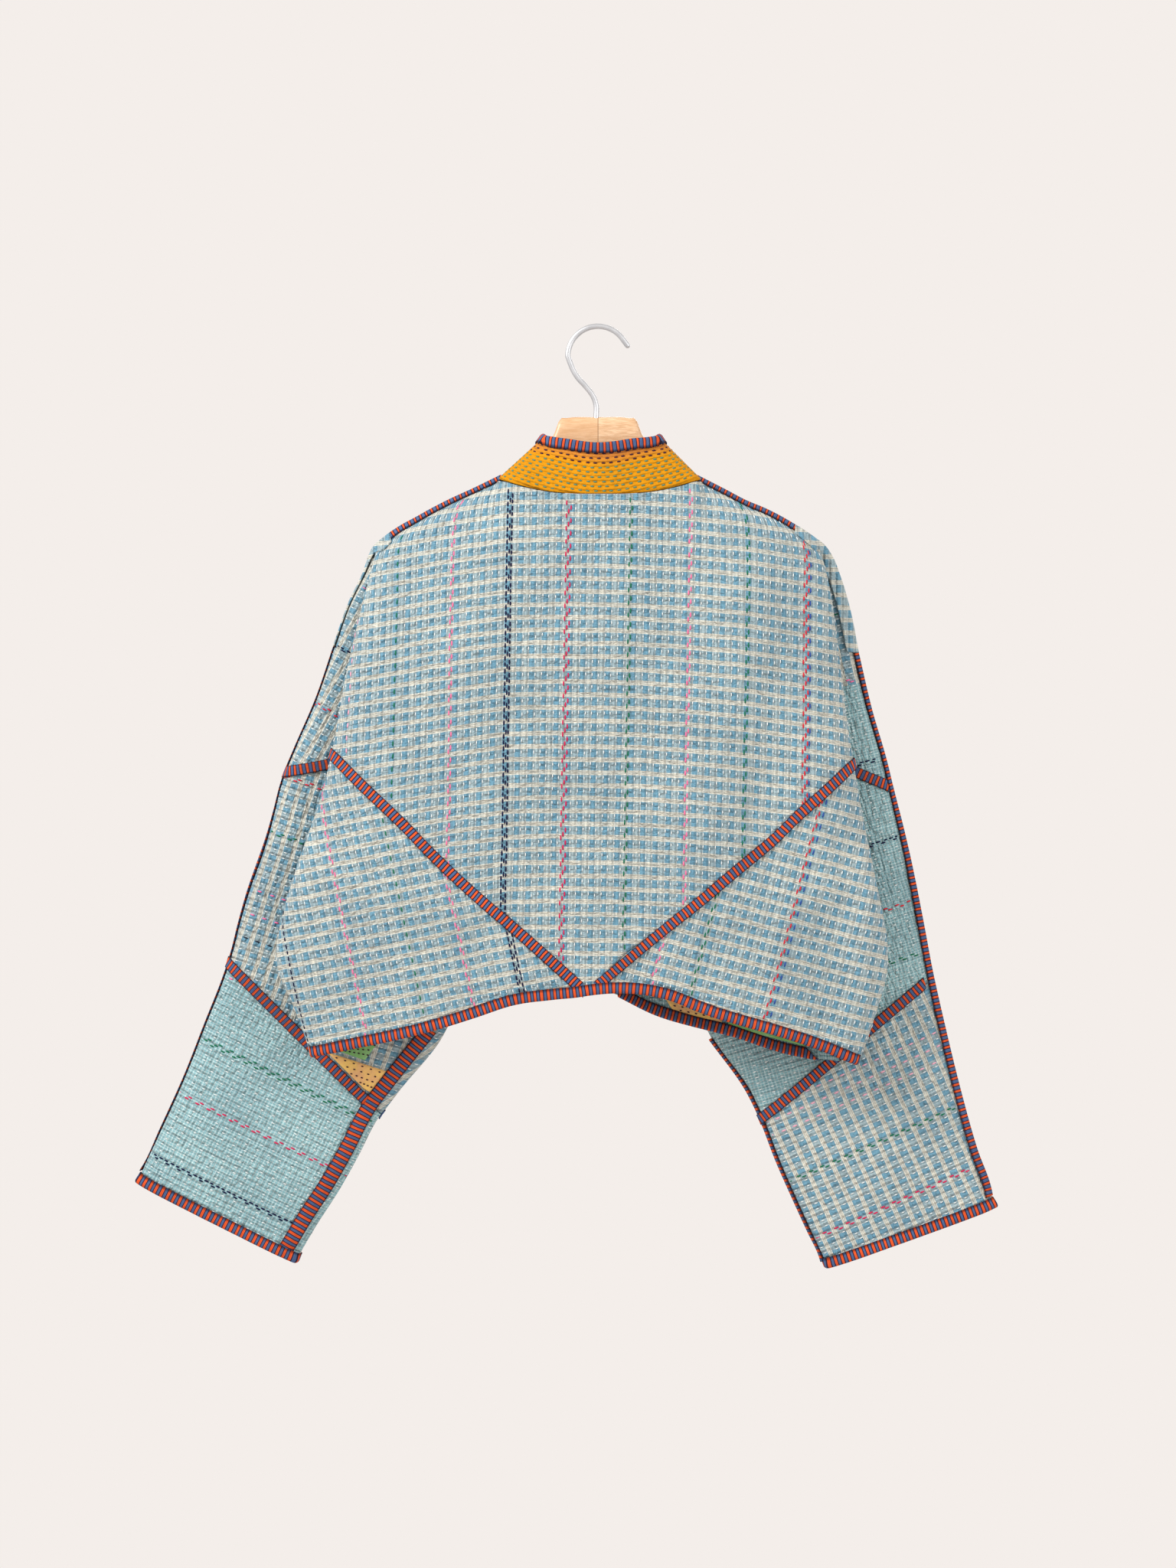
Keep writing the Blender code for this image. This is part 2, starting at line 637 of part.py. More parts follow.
def material(name, colour, roughness, metallic=0.0):
    made = bpy.data.materials.new(name)
    made.use_nodes = True
    shader = made.node_tree.nodes["Principled BSDF"]
    shader.inputs["Base Color"].default_value = (*colour, 1)
    shader.inputs["Roughness"].default_value = roughness
    shader.inputs["Metallic"].default_value = metallic
    made.diffuse_color = (*colour, 1)
    return made


def cloth(name, colour):
    return material(name, colour, 0.9)


CHECK = (0.30, 0.42, 0.55)
AQUA = (0.22, 0.50, 0.52)
COLLAR_OCHRE = (0.82, 0.40, 0.06)
STRIPED = (0.55, 0.16, 0.09)
WOOD = (0.68, 0.42, 0.20)
METAL = (0.58, 0.58, 0.60)


def make_body():
    yoke = back_yoke()
    wall("back_yoke", yoke, cloth("back_yoke", CHECK))
    middle = len(COLUMNS) + len(WRAP) - 1
    yokes = {"left": yoke[:, middle::-1], "right": yoke[:, middle:]}
    hem_edges, hem_insides = {}, {}
    for side in SIDES:
        name = side.name
        half = yokes[name]
        lower = lower_back(side)
        front = front_yoke(side)
        low_front = lower_front(side)
        wall(f"back_lower_{name}", lower, cloth(f"back_lower_{name}", CHECK))
        wall(f"front_yoke_{name}", front, cloth(f"front_yoke_{name}", CHECK))
        wall(f"front_lower_{name}", low_front, cloth(f"front_lower_{name}", AQUA))
        last = len(COLUMNS) + 1
        strip = seam_strip(half[-1, 2:last], half[-2, 2:last], lower[0, 1:last - 1], lower[1, 1:last - 1], (0, -1, 0))
        tape(f"binding_v_{name}", strip)
        span = slice(3, -4)
        strip = seam_strip(front[-1, span], front[-2, span], low_front[0, span], low_front[1, span], (0, 1, 0))
        tape(f"binding_front_seam_{name}", strip)
        tape(f"binding_hem_front_{name}", edge_strip(low_front[-1, 2:-3], low_front[-2, 2:-3], (0, 1, 0)))
        edge, inside = (np.concatenate([front[:, column], low_front[1:, column]]) for column in (0, 3))
        tape(f"binding_front_{name}", edge_strip(edge, inside, (0, 1, 0)))
        count = len(COLUMNS) - 2
        hem_edges[name] = lower[-1, :count]
        hem_insides[name] = lower[-2, :count]
        make_sleeve(side, half, front)
    edge = np.concatenate([hem_edges["left"][::-1], yoke[-1:, middle], hem_edges["right"]])
    inside = np.concatenate([hem_insides["left"][::-1], yoke[-2:-1, middle], hem_insides["right"]])
    tape("binding_hem_back", edge_strip(edge, inside, (0, -1, 0)))


def tape(name, points, closed=False):
    return wall(name, points, material(name, STRIPED, 0.85), TAPE, closed)


def make_sleeve(side, yoke, front):
    name = side.name
    backs = [sleeve_panel(side, part, False) for part in SLEEVE_ROWS]
    fronts = [sleeve_panel(side, part, True) for part in SLEEVE_ROWS]
    for part, back_grid, front_grid in zip(SLEEVE_ROWS, backs, fronts):
        colour = AQUA if part == "middle" else CHECK
        wall(f"sleeve_back_{part}_{name}", back_grid, cloth(f"sleeve_back_{part}_{name}", colour))
        wall(f"sleeve_front_{part}_{name}", front_grid, cloth(f"sleeve_front_{part}_{name}", colour))
    tape(f"binding_shoulder_{name}", shoulder_strip(side, yoke, front, backs, fronts))
    tape(f"binding_under_{name}", seam_strip(*under_strip(backs, fronts), (-side.sign, -0.5, -0.3), CLOSE_LAY_GAP))
    for seam, above, below, last in (("midarm", 0, 1, 9), ("elbow", 1, 2, 10)):
        for face, parts, outward in (("back", backs, (0, -1, 0)), ("front", fronts, (0, 1, 0))):
            span = slice(1, last)
            a, b = parts[above], parts[below]
            strip = seam_strip(a[-1, span], a[-2, span], b[0, span], b[1, span], outward)
            tape(f"binding_{seam}_{face}_{name}", strip)
    cuff_back, cuff_front = backs[2], fronts[2]
    edge = closed_ring(cuff_back[-1], cuff_front[-1])
    inside = closed_ring(cuff_back[-2], cuff_front[-2])
    tape(f"binding_cuff_{name}", ring_strip(edge, inside, (0, -1, 0)), closed=True)


def closed_ring(back_row, front_row):
    """The sleeve's back and front edge points as one closed loop, starting at the arm seam."""
    reach = [
        row[end] + unit(row[end] - row[beside]) * TURN_GAP / 2
        for row in (back_row, front_row) for end, beside in ((0, 1), (-1, -2))
    ]
    arm, under = (reach[0] + reach[2]) / 2, (reach[1] + reach[3]) / 2
    return np.concatenate([arm[None], back_row[1:-1], under[None], front_row[-2:0:-1]])


def ring_strip(edge, inside, outward):
    """An edge strip round a closed loop."""
    count = len(edge)
    lap = np.concatenate([edge, edge, edge])
    lap_inside = np.concatenate([inside, inside, inside])
    strip = edge_strip(lap, lap_inside, outward)
    quarter = count + count // 4
    flip = np.dot(strip[0, quarter] - strip[3, quarter], outward) < 0
    strip = strip[::-1] if flip else strip
    return strip[:, count:2 * count + 1]


def make_collar():
    band = collar()
    wall("collar", band, material("collar", COLLAR_OCHRE, 0.9))
    tape("binding_collar", edge_strip(band[0], band[1], (0, -1, 0)))


def make_bar():
    """The wooden bar: sections from tip to tip, rounded, with a blind bore for the hook."""
    top, bottom, half_depth, set_back = (through(table) for table in (BAR_TOP, BAR_BOTTOM, BAR_HALF_DEPTH, BAR_SET_BACK))
    outs = [0, 12, 24, 33, 37, 41, 46, 54, 70, 84, 97, 115, 133, 150, 164, 176, 188, 197]
    stations = [-out for out in outs[:0:-1]] + outs
    sections = []
    around = 14
    for x in stations:
        high, low = top(abs(x)), bottom(abs(x))
        ring = []
        for step in range(around):
            angle = 2 * math.pi * step / around
            across = math.copysign(abs(math.sin(angle)) ** 0.8, math.sin(angle))
            y = ridge_y(x) + set_back(abs(x)) + half_depth(abs(x)) * across
            ring.append([x, y, (high + low) / 2 + (high - low) / 2 * math.cos(angle)])
        sections.append([*ring, ring[0]])
    points = np.array(sections)
    rows, columns = points.shape[:2]
    grid = bmesh.new()
    bmesh.ops.create_grid(grid, x_segments=columns - 1, y_segments=rows - 1, size=0.5)
    for vertex in grid.verts:
        column = round((vertex.co.x + 0.5) * (columns - 1))
        row = round((vertex.co.y + 0.5) * (rows - 1))
        vertex.co = points[row, column] * MM
    bmesh.ops.remove_doubles(grid, verts=grid.verts, dist=0.00005)
    bmesh.ops.holes_fill(grid, edges=grid.edges)
    bmesh.ops.recalc_face_normals(grid, faces=grid.faces)
    mesh = bpy.data.meshes.new("hanger_bar")
    grid.to_mesh(mesh)
    grid.free()
    mesh.shade_smooth()
    bar = new_object("hanger_bar", mesh, material("hanger_bar", WOOD, 0.45))
    bore_x, bore_z = SHANK[-1]
    cutter_mesh = bpy.data.meshes.new("bore")
    drill = bmesh.new()
    radius = (HOOK_WIRE + BORE_GAP) * MM
    bmesh.ops.create_cone(drill, cap_ends=True, segments=16, radius1=radius, radius2=radius, depth=0.04)
    drill.to_mesh(cutter_mesh)
    drill.free()
    cutter = bpy.data.objects.new("bore", cutter_mesh)
    cutter.location = (bore_x * MM, 0, (bore_z - BORE_GAP) * MM + 0.02)
    cutter.hide_render = True
    cutter.display_type = "WIRE"
    bpy.data.collections["cutters"].objects.link(cutter)
    cut = bar.modifiers.new("bore", "BOOLEAN")
    cut.operation = "DIFFERENCE"
    cut.object = cutter


def make_hook():
    """The wire hook: an open circle whose inside top is the origin, and an S-shaped shank."""
    route = [(29.3, -17.6)]
    for step in range(0, 17):
        angle = math.radians(40 + step * 140 / 16)
        route.append((HOOK_RADIUS * math.cos(angle), HOOK_CENTRE_Z + HOOK_RADIUS * math.sin(angle)))
    lower = [route[-1], *SHANK]
    x_of, z_of = (through(list(enumerate(values))) for values in zip(*lower))
    count = 3 * (len(lower) - 1)
    route += [(x_of(i / 3), z_of(i / 3)) for i in range(1, count + 1)]
    curve = bpy.data.curves.new("hanger_hook", "CURVE")
    curve.dimensions = "3D"
    curve.bevel_depth = HOOK_WIRE * MM
    curve.bevel_resolution = 2
    curve.use_fill_caps = True
    spline = curve.splines.new("POLY")
    spline.points.add(len(route) - 1)
    for point, (x, z) in zip(spline.points, route):
        point.co = (x * MM, 0, z * MM, 1)
    curve.materials.append(material("hanger_hook", METAL, 0.35, 1.0))
    hook = bpy.data.objects.new("hanger_hook", curve)
    bpy.data.collections["patched_jacket"].objects.link(hook)


def main():
    for old in list(bpy.data.objects):
        bpy.data.objects.remove(old)
    for name in ("patched_jacket", "cutters"):
        bpy.context.scene.collection.children.link(bpy.data.collections.new(name))
    make_body()
    make_collar()
    make_bar()
    make_hook()


main()
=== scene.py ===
"""The looks of a quilted patchwork jacket, hung by a wooden hanger with its back to the viewer.

Metres, +Z up, in the part's own frame: the origin is the inside top of the hanger's hook. Guide
curves and grids of points are in millimetres. Each cloth panel is worked out from the same curves
as its solid, with more points, soft drape and a layout of the flat cloth: `across` runs from one
row of quilting to the next, and `along` runs with the stitches. The layout is the UV map, in
metres, that the weave and the quilting relief are drawn in. The stitches are small meshes on it.
"""
import math

import bmesh
import bpy
import numpy as np
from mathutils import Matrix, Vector
from mathutils.bvhtree import BVHTree


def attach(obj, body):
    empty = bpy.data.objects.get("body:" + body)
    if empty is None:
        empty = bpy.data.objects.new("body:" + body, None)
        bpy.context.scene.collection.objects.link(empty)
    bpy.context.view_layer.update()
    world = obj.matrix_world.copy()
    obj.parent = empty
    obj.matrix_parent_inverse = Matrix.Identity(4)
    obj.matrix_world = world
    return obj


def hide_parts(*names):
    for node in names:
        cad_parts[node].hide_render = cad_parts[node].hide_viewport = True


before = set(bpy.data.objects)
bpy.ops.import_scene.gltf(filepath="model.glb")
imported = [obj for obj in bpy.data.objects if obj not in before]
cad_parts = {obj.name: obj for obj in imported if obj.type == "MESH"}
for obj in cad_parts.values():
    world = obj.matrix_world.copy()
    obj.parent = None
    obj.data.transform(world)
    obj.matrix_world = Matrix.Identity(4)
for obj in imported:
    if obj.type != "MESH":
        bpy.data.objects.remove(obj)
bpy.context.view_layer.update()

MM = 0.001

# The garment hangs with its back to the viewer and its front to the wall.
TO_VIEWER, TO_WALL = (0, -1, 0), (0, 1, 0)

# Thickness of the quilted cloth and of its binding, and the gaps that part neighbours.
CLOTH = 2.4
TAPE = 1.2
SEAM_GAP = 0.4
SLANT_GAP = 0.6
TURN_GAP = 2.2
SIDE_SEAM_GAP = 2.0
LAY_GAP = 0.45
CLOSE_LAY_GAP = 0.8
RIDGE_GAP = 3.0

# Half width of a binding on a seam, and how far one that folds over an edge reaches in from it.
TAPE_HALF = 4.8
EDGE_LEG = 8.6

# The arm's binding is narrower where the arm lies close to the body, and bulges at the shoulder's tip.
ARM_TAPE_CLEARANCE = 4.0
ARM_TAPE_LEAST = 0.8
TIP_OUT, TIP_UP = 1.5, 1.0

# Depths of the hung body: height against Y for its back, its side folds and its wall side.
BACK_DEPTH = [(-690, -33), (-450, -35), (-260, -34), (-200, -31), (-157, -28)]
FOLD_DEPTH = [(-690, -4), (-400, -3), (-300, 1), (-235, 5), (-205, 8)]
FRONT_DEPTH = 18.0
FLAT_TUBE_POWER = 4.0

# The sleeves' middle depth and half thickness, against height.
SLEEVE_DEPTH = [(-885, 30), (-700, 36), (-622, 38), (-500, 36), (-404, 32), (-300, 27), (-250, 23.5),
                (-225, 20.5), (-207, 17)]
SLEEVE_HALF = [(-885, 12), (-622, 13), (-404, 13), (-300, 11), (-250, 8.5), (-225, 5), (-207, 2.4)]

# Shoulders and neck. Both necklines give height against distance from the centre.
TIP_X = 208.0
TIP_SET_BACK = 8.0
VALLEY_TOP_X = 204.0
NECK_X = 96.9
NECK_BACK_Y = -27.0
BACK_NECK = [(0, -158), (20, -158), (50, -155.4), (77, -149.4), (90, -145.3), (97, -143.6)]
FRONT_NECK = [(0, -252), (6, -247), (30, -226), (60, -198), (85, -168), (97, -143.6)]
CENTRE_LINE = [(-624, -8), (-400, -2), (-157, 3)]
FRONT_EDGE_X = 4.0

# The collar: a cone-shaped stand band, with the X, Y and Z of its top edge.
COLLAR_TOP_X = 53.0
COLLAR_BACK_Y = -20.0
COLLAR_FRONT_Y = 15.0
COLLAR_RISE = 5.0
COLLAR_TOP_Z = -107.0
COLLAR_FRONT_HEIGHT = 40.0
COLLAR_SIDE_Y = 2.0
FRONT_NECK_POWER = 0.2

# How far the collar's base is lifted off the neckline, at the middle of the back and at the neck points.
COLLAR_LIFT = (0.7, 2.6)

# Columns of the back and the front, from the centre (0) to the side fold (1), and rows down a panel.
COLUMNS = (0, 0.019, 0.058, 0.1365, 0.215, 0.245, 0.2693, 0.34, 0.42, 0.5, 0.58, 0.66, 0.74, 0.82, 0.91, 1.0)
NECK_COLUMN = 6
SHOULDER_END_COLUMN = 13
WRAP = (1 / 3, 2 / 3, 1.0)
SLEEVE_COLUMNS = 10
SIDE_SEAM_ROWS = 4

# The hanger.
HOOK_RADIUS = 28.4
HOOK_CENTRE_Z = -25.8
HOOK_WIRE = 2.6
HOOK_TIP = (29.3, -17.6)
SHANK = [(-23.8, -37.7), (-18.9, -45.9), (-12, -53.5), (-5.1, -62.4), (-1.7, -72.1), (-1.7, -83.1),
         (-1.7, -97)]
BAR_TOP = [(0, -83), (30, -83.6), (36, -85), (41, -98), (45, -106), (50, -114), (60, -123), (75, -135),
           (97, -150.5), (133, -166.8), (164, -180.3), (188, -194.3), (197, -200.3)]
BAR_BOTTOM = [(0, -127), (40, -129), (60, -134), (97, -168), (133, -184), (164, -196), (188, -207),
              (197, -211)]
BAR_HALF_DEPTH = [(0, 6.5), (38, 6.5), (46, 4.4), (105, 4.2), (150, 4.6), (185, 3.6), (197, 3)]
BAR_SET_BACK = [(0, 0), (38, 0), (46, -2.5), (105, -2.5), (150, 0), (197, 0)]

# The panels fall from their top edges in a curve: its reach at the shoulder and at the neck, and
# the distances from the centre over which one passes into the other.
NECK_FALL = 45.0
NECK_BLEND = 45.0
BACK_FALL = 32.0
BACK_NECK_END = 60.0
FRONT_FALL = (12.0, 4.0)
FRONT_FALL_BLEND = (150, 50)
FRONT_NECK_END = 35.0

# Soft waves of the back's drape, from where they begin down to where they are full.
WAVE_TOP = -330
WAVE_GROWTH = 300
WAVE_DEPTH = 5.0
WAVE_TURNS = 9.0
WAVE_PHASE = {"left": 0.4, "right": 1.3}

# Heights above the fork over which the sleeve opens, the front meets it and their gap narrows.
SLEEVE_OPENING = 120.0
FRONT_MEETING = 60.0
GAP_NARROWING = 190.0
FORK_GAP, HIGH_GAP = 4.5, 0.8

# How far from the centre the front follows the garment's own leaning middle line.
CENTRE_SHIFT_REACH = 140


class Side:
    """One half of the garment: its sign along X, and its guide curves in millimetres."""

    def __init__(self, name, sign, **curves):
        self.name = name
        self.sign = sign
        for key, value in curves.items():
            setattr(self, key, value)


def through(table):
    """A smooth curve through a table of (key, value), held flat past its ends."""
    rows = sorted(table)
    keys = np.array([row[0] for row in rows], float)
    values = np.array([row[1] for row in rows], float)
    slopes = np.gradient(values, keys)

    def read(key):
        key = min(max(key, keys[0]), keys[-1])
        i = int(min(max(np.searchsorted(keys, key) - 1, 0), len(keys) - 2))
        span = keys[i + 1] - keys[i]
        t = (key - keys[i]) / span
        start = (1 + 2 * t) * (1 - t) ** 2 * values[i] + t * (1 - t) ** 2 * span * slopes[i]
        end = t * t * (3 - 2 * t) * values[i + 1] + t * t * (t - 1) * span * slopes[i + 1]
        return start + end

    return read


# Each side's curves: X of the side fold, the top of the arm, the hidden valley between body and
# sleeve and the under-arm line against height, and heights of the shoulder and the slanting seams
# against distance from the centre.
LEFT = Side(
    "left",
    -1,
    shoulder=through([(90, -141), (116, -153.5), (145, -167), (172, -181.6), (188, -190.5), (201, -200.5),
                      (208, -208)]),
    fold=through([(-208, 208), (-254, 219.6), (-328, 236.6), (-396, 248.5), (-436, 258), (-516, 285),
                  (-575, 300), (-593, 301.3), (-609, 297.8), (-643, 282), (-678, 270.5), (-686, 269)]),
    arm=through([(-208, 210), (-229, 219), (-270, 239), (-297, 248), (-351, 267), (-385, 282),
                 (-419, 296.5), (-470, 311), (-540, 335), (-600, 351), (-669, 377.5), (-721, 398),
                 (-779, 425), (-806, 437)]),
    valley=through([(-208, 204), (-250, 209), (-300, 214), (-404, 227), (-450, 205), (-510, 163),
                    (-560, 125)]),
    under=through([(-560, 125), (-610, 126), (-655, 140), (-698, 172), (-742, 206.5), (-799, 236.5),
                   (-864, 277.5), (-881, 287)]),
    back_seam=through([(0, -628), (24, -609), (59, -578.7), (90, -552), (118, -528), (150, -498),
                       (184, -463), (221, -428), (250, -399)]),
    front_seam=through([(0, -590), (60, -582), (125, -560)]),
    arm_z=(-212, -417, -599, -806),
    under_z=(-217, -404, -742, -881),
    fork=(125.0, -560.0),
    hem_corner=(256.0, -678.0),
    arm_seam=-1.5,
    under_seam=14.0,
)
RIGHT = Side(
    "right",
    1,
    shoulder=through([(100, -144.4), (133, -162.5), (164, -176.1), (188, -189.8), (201, -199),
                      (208, -206)]),
    fold=through([(-206, 208), (-228, 214), (-302, 225.2), (-374, 233.7), (-408, 239), (-453, 246.5),
                  (-522, 260.7), (-583, 271), (-604, 270.5), (-625, 266.6), (-643, 260), (-669, 252),
                  (-692, 242)]),
    arm=through([(-206, 210), (-214, 216), (-254, 232), (-311, 245), (-374, 261), (-399, 269),
                 (-428, 276.5), (-485, 291), (-547, 304), (-607, 315.5), (-682, 332.5), (-747, 349),
                 (-806, 367.5), (-829, 377)]),
    valley=through([(-208, 204), (-250, 206), (-300, 209), (-405, 218), (-450, 190), (-510, 136),
                    (-560, 88)]),
    under=through([(-560, 88), (-610, 87), (-655, 98.5), (-697, 131), (-740, 154.5), (-781, 170.5),
                   (-843, 198), (-886, 218)]),
    back_seam=through([(0, -624), (22, -597), (56, -567.9), (92, -539.3), (128, -508.8), (163, -480.2),
                       (185, -458.6), (213, -433.6), (240, -408)]),
    front_seam=through([(0, -590), (45, -582), (88, -560)]),
    arm_z=(-214, -431, -612, -829),
    under_z=(-219, -405, -745, -886),
    fork=(88.0, -560.0),
    hem_corner=(230.0, -688.5),
    arm_seam=1.0,
    under_seam=-1.0,
)
SIDES = (LEFT, RIGHT)

# Lower edges of the cloth: height against X.
BACK_HEM = through([(-271, -683), (-240, -676), (-188, -664.5), (-153, -655.3), (-102, -639.5),
                    (-74, -630.6), (-24, -625.2), (0, -621.8), (30, -621), (66, -627), (102, -641.3),
                    (137, -652), (173, -662.8), (209, -675.4), (242, -689.5)])
FRONT_HEM = through([(-271, -682), (-240, -673), (-153, -651), (-60, -627), (0, -622), (30, -629),
                     (59, -645), (98, -657.5), (127, -665), (173, -680), (209, -687), (242, -690)])

# The sleeve's row at the fork under the arm, how many rows it takes to close below it, and how far
# from the valley the front begins to lift towards the sleeve.
FORK_ROW = 1.46
FORK_BLEND = 0.28
CREASE_SPREAD = 95.0

back_depth = through(BACK_DEPTH)
fold_depth = through(FOLD_DEPTH)
sleeve_depth = through(SLEEVE_DEPTH)
sleeve_half = through(SLEEVE_HALF)
back_neck = through(BACK_NECK)
front_neck = through(FRONT_NECK)
centre_line = through(CENTRE_LINE)


def mix(a, b, share):
    return a + (b - a) * share


def ease(share):
    share = min(max(share, 0.0), 1.0)
    return share * share * (3 - 2 * share)


def unit(vector):
    return vector / np.linalg.norm(vector, axis=-1, keepdims=True)


def bulge(share):
    """1 in the middle of a flattened tube, falling steeply to 0 at share 1."""
    return math.sqrt(max(0.0, 1 - min(abs(share), 1.0) ** FLAT_TUBE_POWER))


def share_of(column):
    """Share of the way from the centre to the fold. Columns crowd at the fold and turn back past 1."""
    return 1 - (1 - column) ** 2


def settle(height_at, place_at, start=-400.0):
    """The height at which a slanting column meets an edge whose height depends on its place."""
    height = start
    for _ in range(14):
        height = height_at(place_at(height))
    return height


def ridge_y(x):
    """Y of the shoulder seam, which follows the hanger's arms."""
    return TIP_SET_BACK * (abs(x) / TIP_X) ** 2


def neck_arc(out, power=0.3):
    """1 at the centre of the neckline, 0 at the neck points, seen from above."""
    return max(0.0, 1 - (out / NECK_X) ** 2) ** power


def fall(down, out, reach, neck_end):
    """Share of its full depth that a panel has reached at `down` millimetres below its top edge."""
    at_neck = 1 - ease((out - neck_end) / NECK_BLEND)
    return (1 - math.exp(-max(0.0, down) / mix(reach, NECK_FALL, at_neck))) ** mix(0.6, 1.0, at_neck)


def back_x(side, column, z):
    """X of a column of the back at a height."""
    return mix(centre_line(z), side.sign * side.fold(z), share_of(column))


def back_top(side, column):
    """Height and Y of the back panel's top edge."""
    out = TIP_X * share_of(column)
    if out < NECK_X:
        return back_neck(out), mix(ridge_y(NECK_X), NECK_BACK_Y, neck_arc(out))
    top = settle(side.shoulder, lambda z: abs(back_x(side, column, z)), -180.0)
    return top, ridge_y(back_x(side, column, top)) - RIDGE_GAP / 2


def hem_wave(side, share, z):
    """The soft drape waves of the back panels, strongest at the hem."""
    low = ease((WAVE_TOP - z) / WAVE_GROWTH)
    return low * WAVE_DEPTH * math.sin(share * WAVE_TURNS + WAVE_PHASE[side.name]) * bulge(share) * share


def back_point(side, column, z):
    """The body's back, from the centre (column 0) to the side fold (column 1)."""
    share = share_of(column)
    full = mix(fold_depth(z), back_depth(z), bulge(share)) + hem_wave(side, share, z)
    top_z, top_y = back_top(side, column)
    y = mix(top_y, full, fall(top_z - z, TIP_X * share, BACK_FALL, BACK_NECK_END))
    return np.array([back_x(side, column, z), y, z])


def rear_y(side, out, z):
    """Y of the body's wall-side layer."""
    return mix(fold_depth(z), FRONT_DEPTH, bulge(out / side.fold(z)))


def wrap_point(side, fold_z, end_out, end_z, share):
    """The cloth turned round the side fold, between the fold and its hidden end."""
    last = math.sqrt(max(0.0, 1 - end_out / side.fold(end_z)))
    z = mix(fold_z, end_z, share ** 2)
    out = side.fold(z) * (1 - (last * share) ** 2)
    return np.array([side.sign * out, rear_y(side, out, z), z])


def crease_y(side, z):
    """Y of the sleeve's front over the valley, pinched in at the fork under the arm."""
    open_share = ease((z - side.fork[1]) / SLEEVE_OPENING)
    return mix(FRONT_DEPTH + 2 * CLOTH + 2 * SEAM_GAP, sleeve_depth(z) + sleeve_half(z), open_share)


def crease_gap(side, z):
    """Room between the front and the sleeve's front, widest where the valley runs aslant above the fork."""
    return mix(FORK_GAP, HIGH_GAP, ease((z - side.fork[1]) / GAP_NARROWING))


def front_out(side, share, z):
    """Distance from the centre of a share of the front at a height."""
    return mix(FRONT_EDGE_X, side.valley(z) - crease_gap(side, z), share)

def front_top(side, share):
    """Height and Y of the front panel's top edge."""
    out = mix(FRONT_EDGE_X, VALLEY_TOP_X, share)
    if out < NECK_X:
        return front_neck(out), mix(ridge_y(NECK_X), FRONT_DEPTH, neck_arc(out, FRONT_NECK_POWER))
    top = settle(side.shoulder, lambda z: front_out(side, share, z), -180.0)
    return top, ridge_y(front_out(side, share, top)) + RIDGE_GAP / 2


def front_point(side, share, z):
    """The front above the fork, from the front edge (share 0) to the arm seam (share 1)."""
    out = front_out(side, share, z)
    lift = ease((out - side.valley(z) + CREASE_SPREAD) / CREASE_SPREAD)
    end_y = mix(FRONT_DEPTH, crease_y(side, z), ease((z - side.fork[1]) / FRONT_MEETING))
    full = mix(FRONT_DEPTH, end_y, lift)
    top_z, top_y = front_top(side, share)
    top_out = mix(FRONT_EDGE_X, VALLEY_TOP_X, share)
    start, span = FRONT_FALL_BLEND
    reach = mix(*FRONT_FALL, ease((top_out - start) / span))
    y = mix(top_y, full, fall(top_z - z, top_out, reach, FRONT_NECK_END))
    return np.array([side.sign * out + front_shift(out, z), y, z])


def front_shift(out, z):
    """How far the front follows the garment's own leaning middle line."""
    return centre_line(z) * (1 - ease(out / CENTRE_SHIFT_REACH))


def sleeve_row(side, row):
    """Ends of a sleeve row, as (out, z) on the arm line and on the valley or under-arm line.

    Row 0 is at the shoulder tip, 1 at the mid-arm seam, 2 at the elbow seam and 3 at the cuff."""
    arm_z = np.interp(row, (0, 1, 2, 3), side.arm_z)
    keys = (0, 1, FORK_ROW, 2, 3)
    inner_z = np.interp(row, keys, (*side.under_z[:2], side.fork[1], *side.under_z[2:]))
    inner = side.valley(inner_z) if row <= FORK_ROW else side.under(inner_z)
    return side.arm(arm_z), arm_z, inner, inner_z


def sleeve_point(side, row, ring):
    """A point of the sleeve's ring: 0 the arm line, to 1 the back, 1 the under-arm line, to 2 the front."""
    ring = ring % 2
    front = ring > 1
    t = 0.5 - 0.5 * math.cos(math.pi * (2 - ring if front else ring))
    arm, arm_z, inner, inner_z = sleeve_row(side, row)
    out = mix(arm, inner, t)
    z = mix(arm_z, inner_z, t)
    face = sleeve_half(z) if front else -sleeve_half(z)
    if t < 0.5:
        y = sleeve_depth(z) + face * bulge(1 - 2 * t)
    else:
        y = mix(sleeve_end_y(side, row, front, z, inner, inner_z), sleeve_depth(z) + face, bulge(2 * t - 1))
    return np.array([side.sign * out, y, z])


def sleeve_end_y(side, row, front, z, inner, inner_z):
    """Y of the sleeve's inner end: parted above the fork, closed below it."""
    if row <= FORK_ROW:
        stacked = mix(1.6, 1.0, ease(row / 0.5)) * CLOTH + SEAM_GAP
        return crease_y(side, inner_z) if front else rear_y(side, inner, inner_z) + stacked
    closed = ease((row - FORK_ROW) / FORK_BLEND)
    middle = mix(FRONT_DEPTH + 1.5 * (CLOTH + SEAM_GAP), sleeve_depth(z), closed)
    half = (CLOTH + SEAM_GAP) / 2 * (1 - closed)
    return middle + (half if front else -half)


def ring_at(width, inside):
    """Ring angle at `inside` millimetres from the arm line, seen from the back; negative is in front."""
    return math.copysign(math.acos(1 - 2 * min(abs(inside) / width, 0.5)) / math.pi, inside)


def seam_rings(side, row):
    """Ring places of the top-arm seam and the under-arm seam in a row."""
    arm, arm_z, inner, inner_z = sleeve_row(side, row)
    width = math.hypot(arm - inner, arm_z - inner_z)
    arm_seam = ring_at(width, side.arm_seam)
    under_seam = 1 - ring_at(width, side.under_seam) * ease((row - FORK_ROW) / FORK_BLEND)
    return arm_seam, under_seam, TURN_GAP / 2 / (width * 0.42)


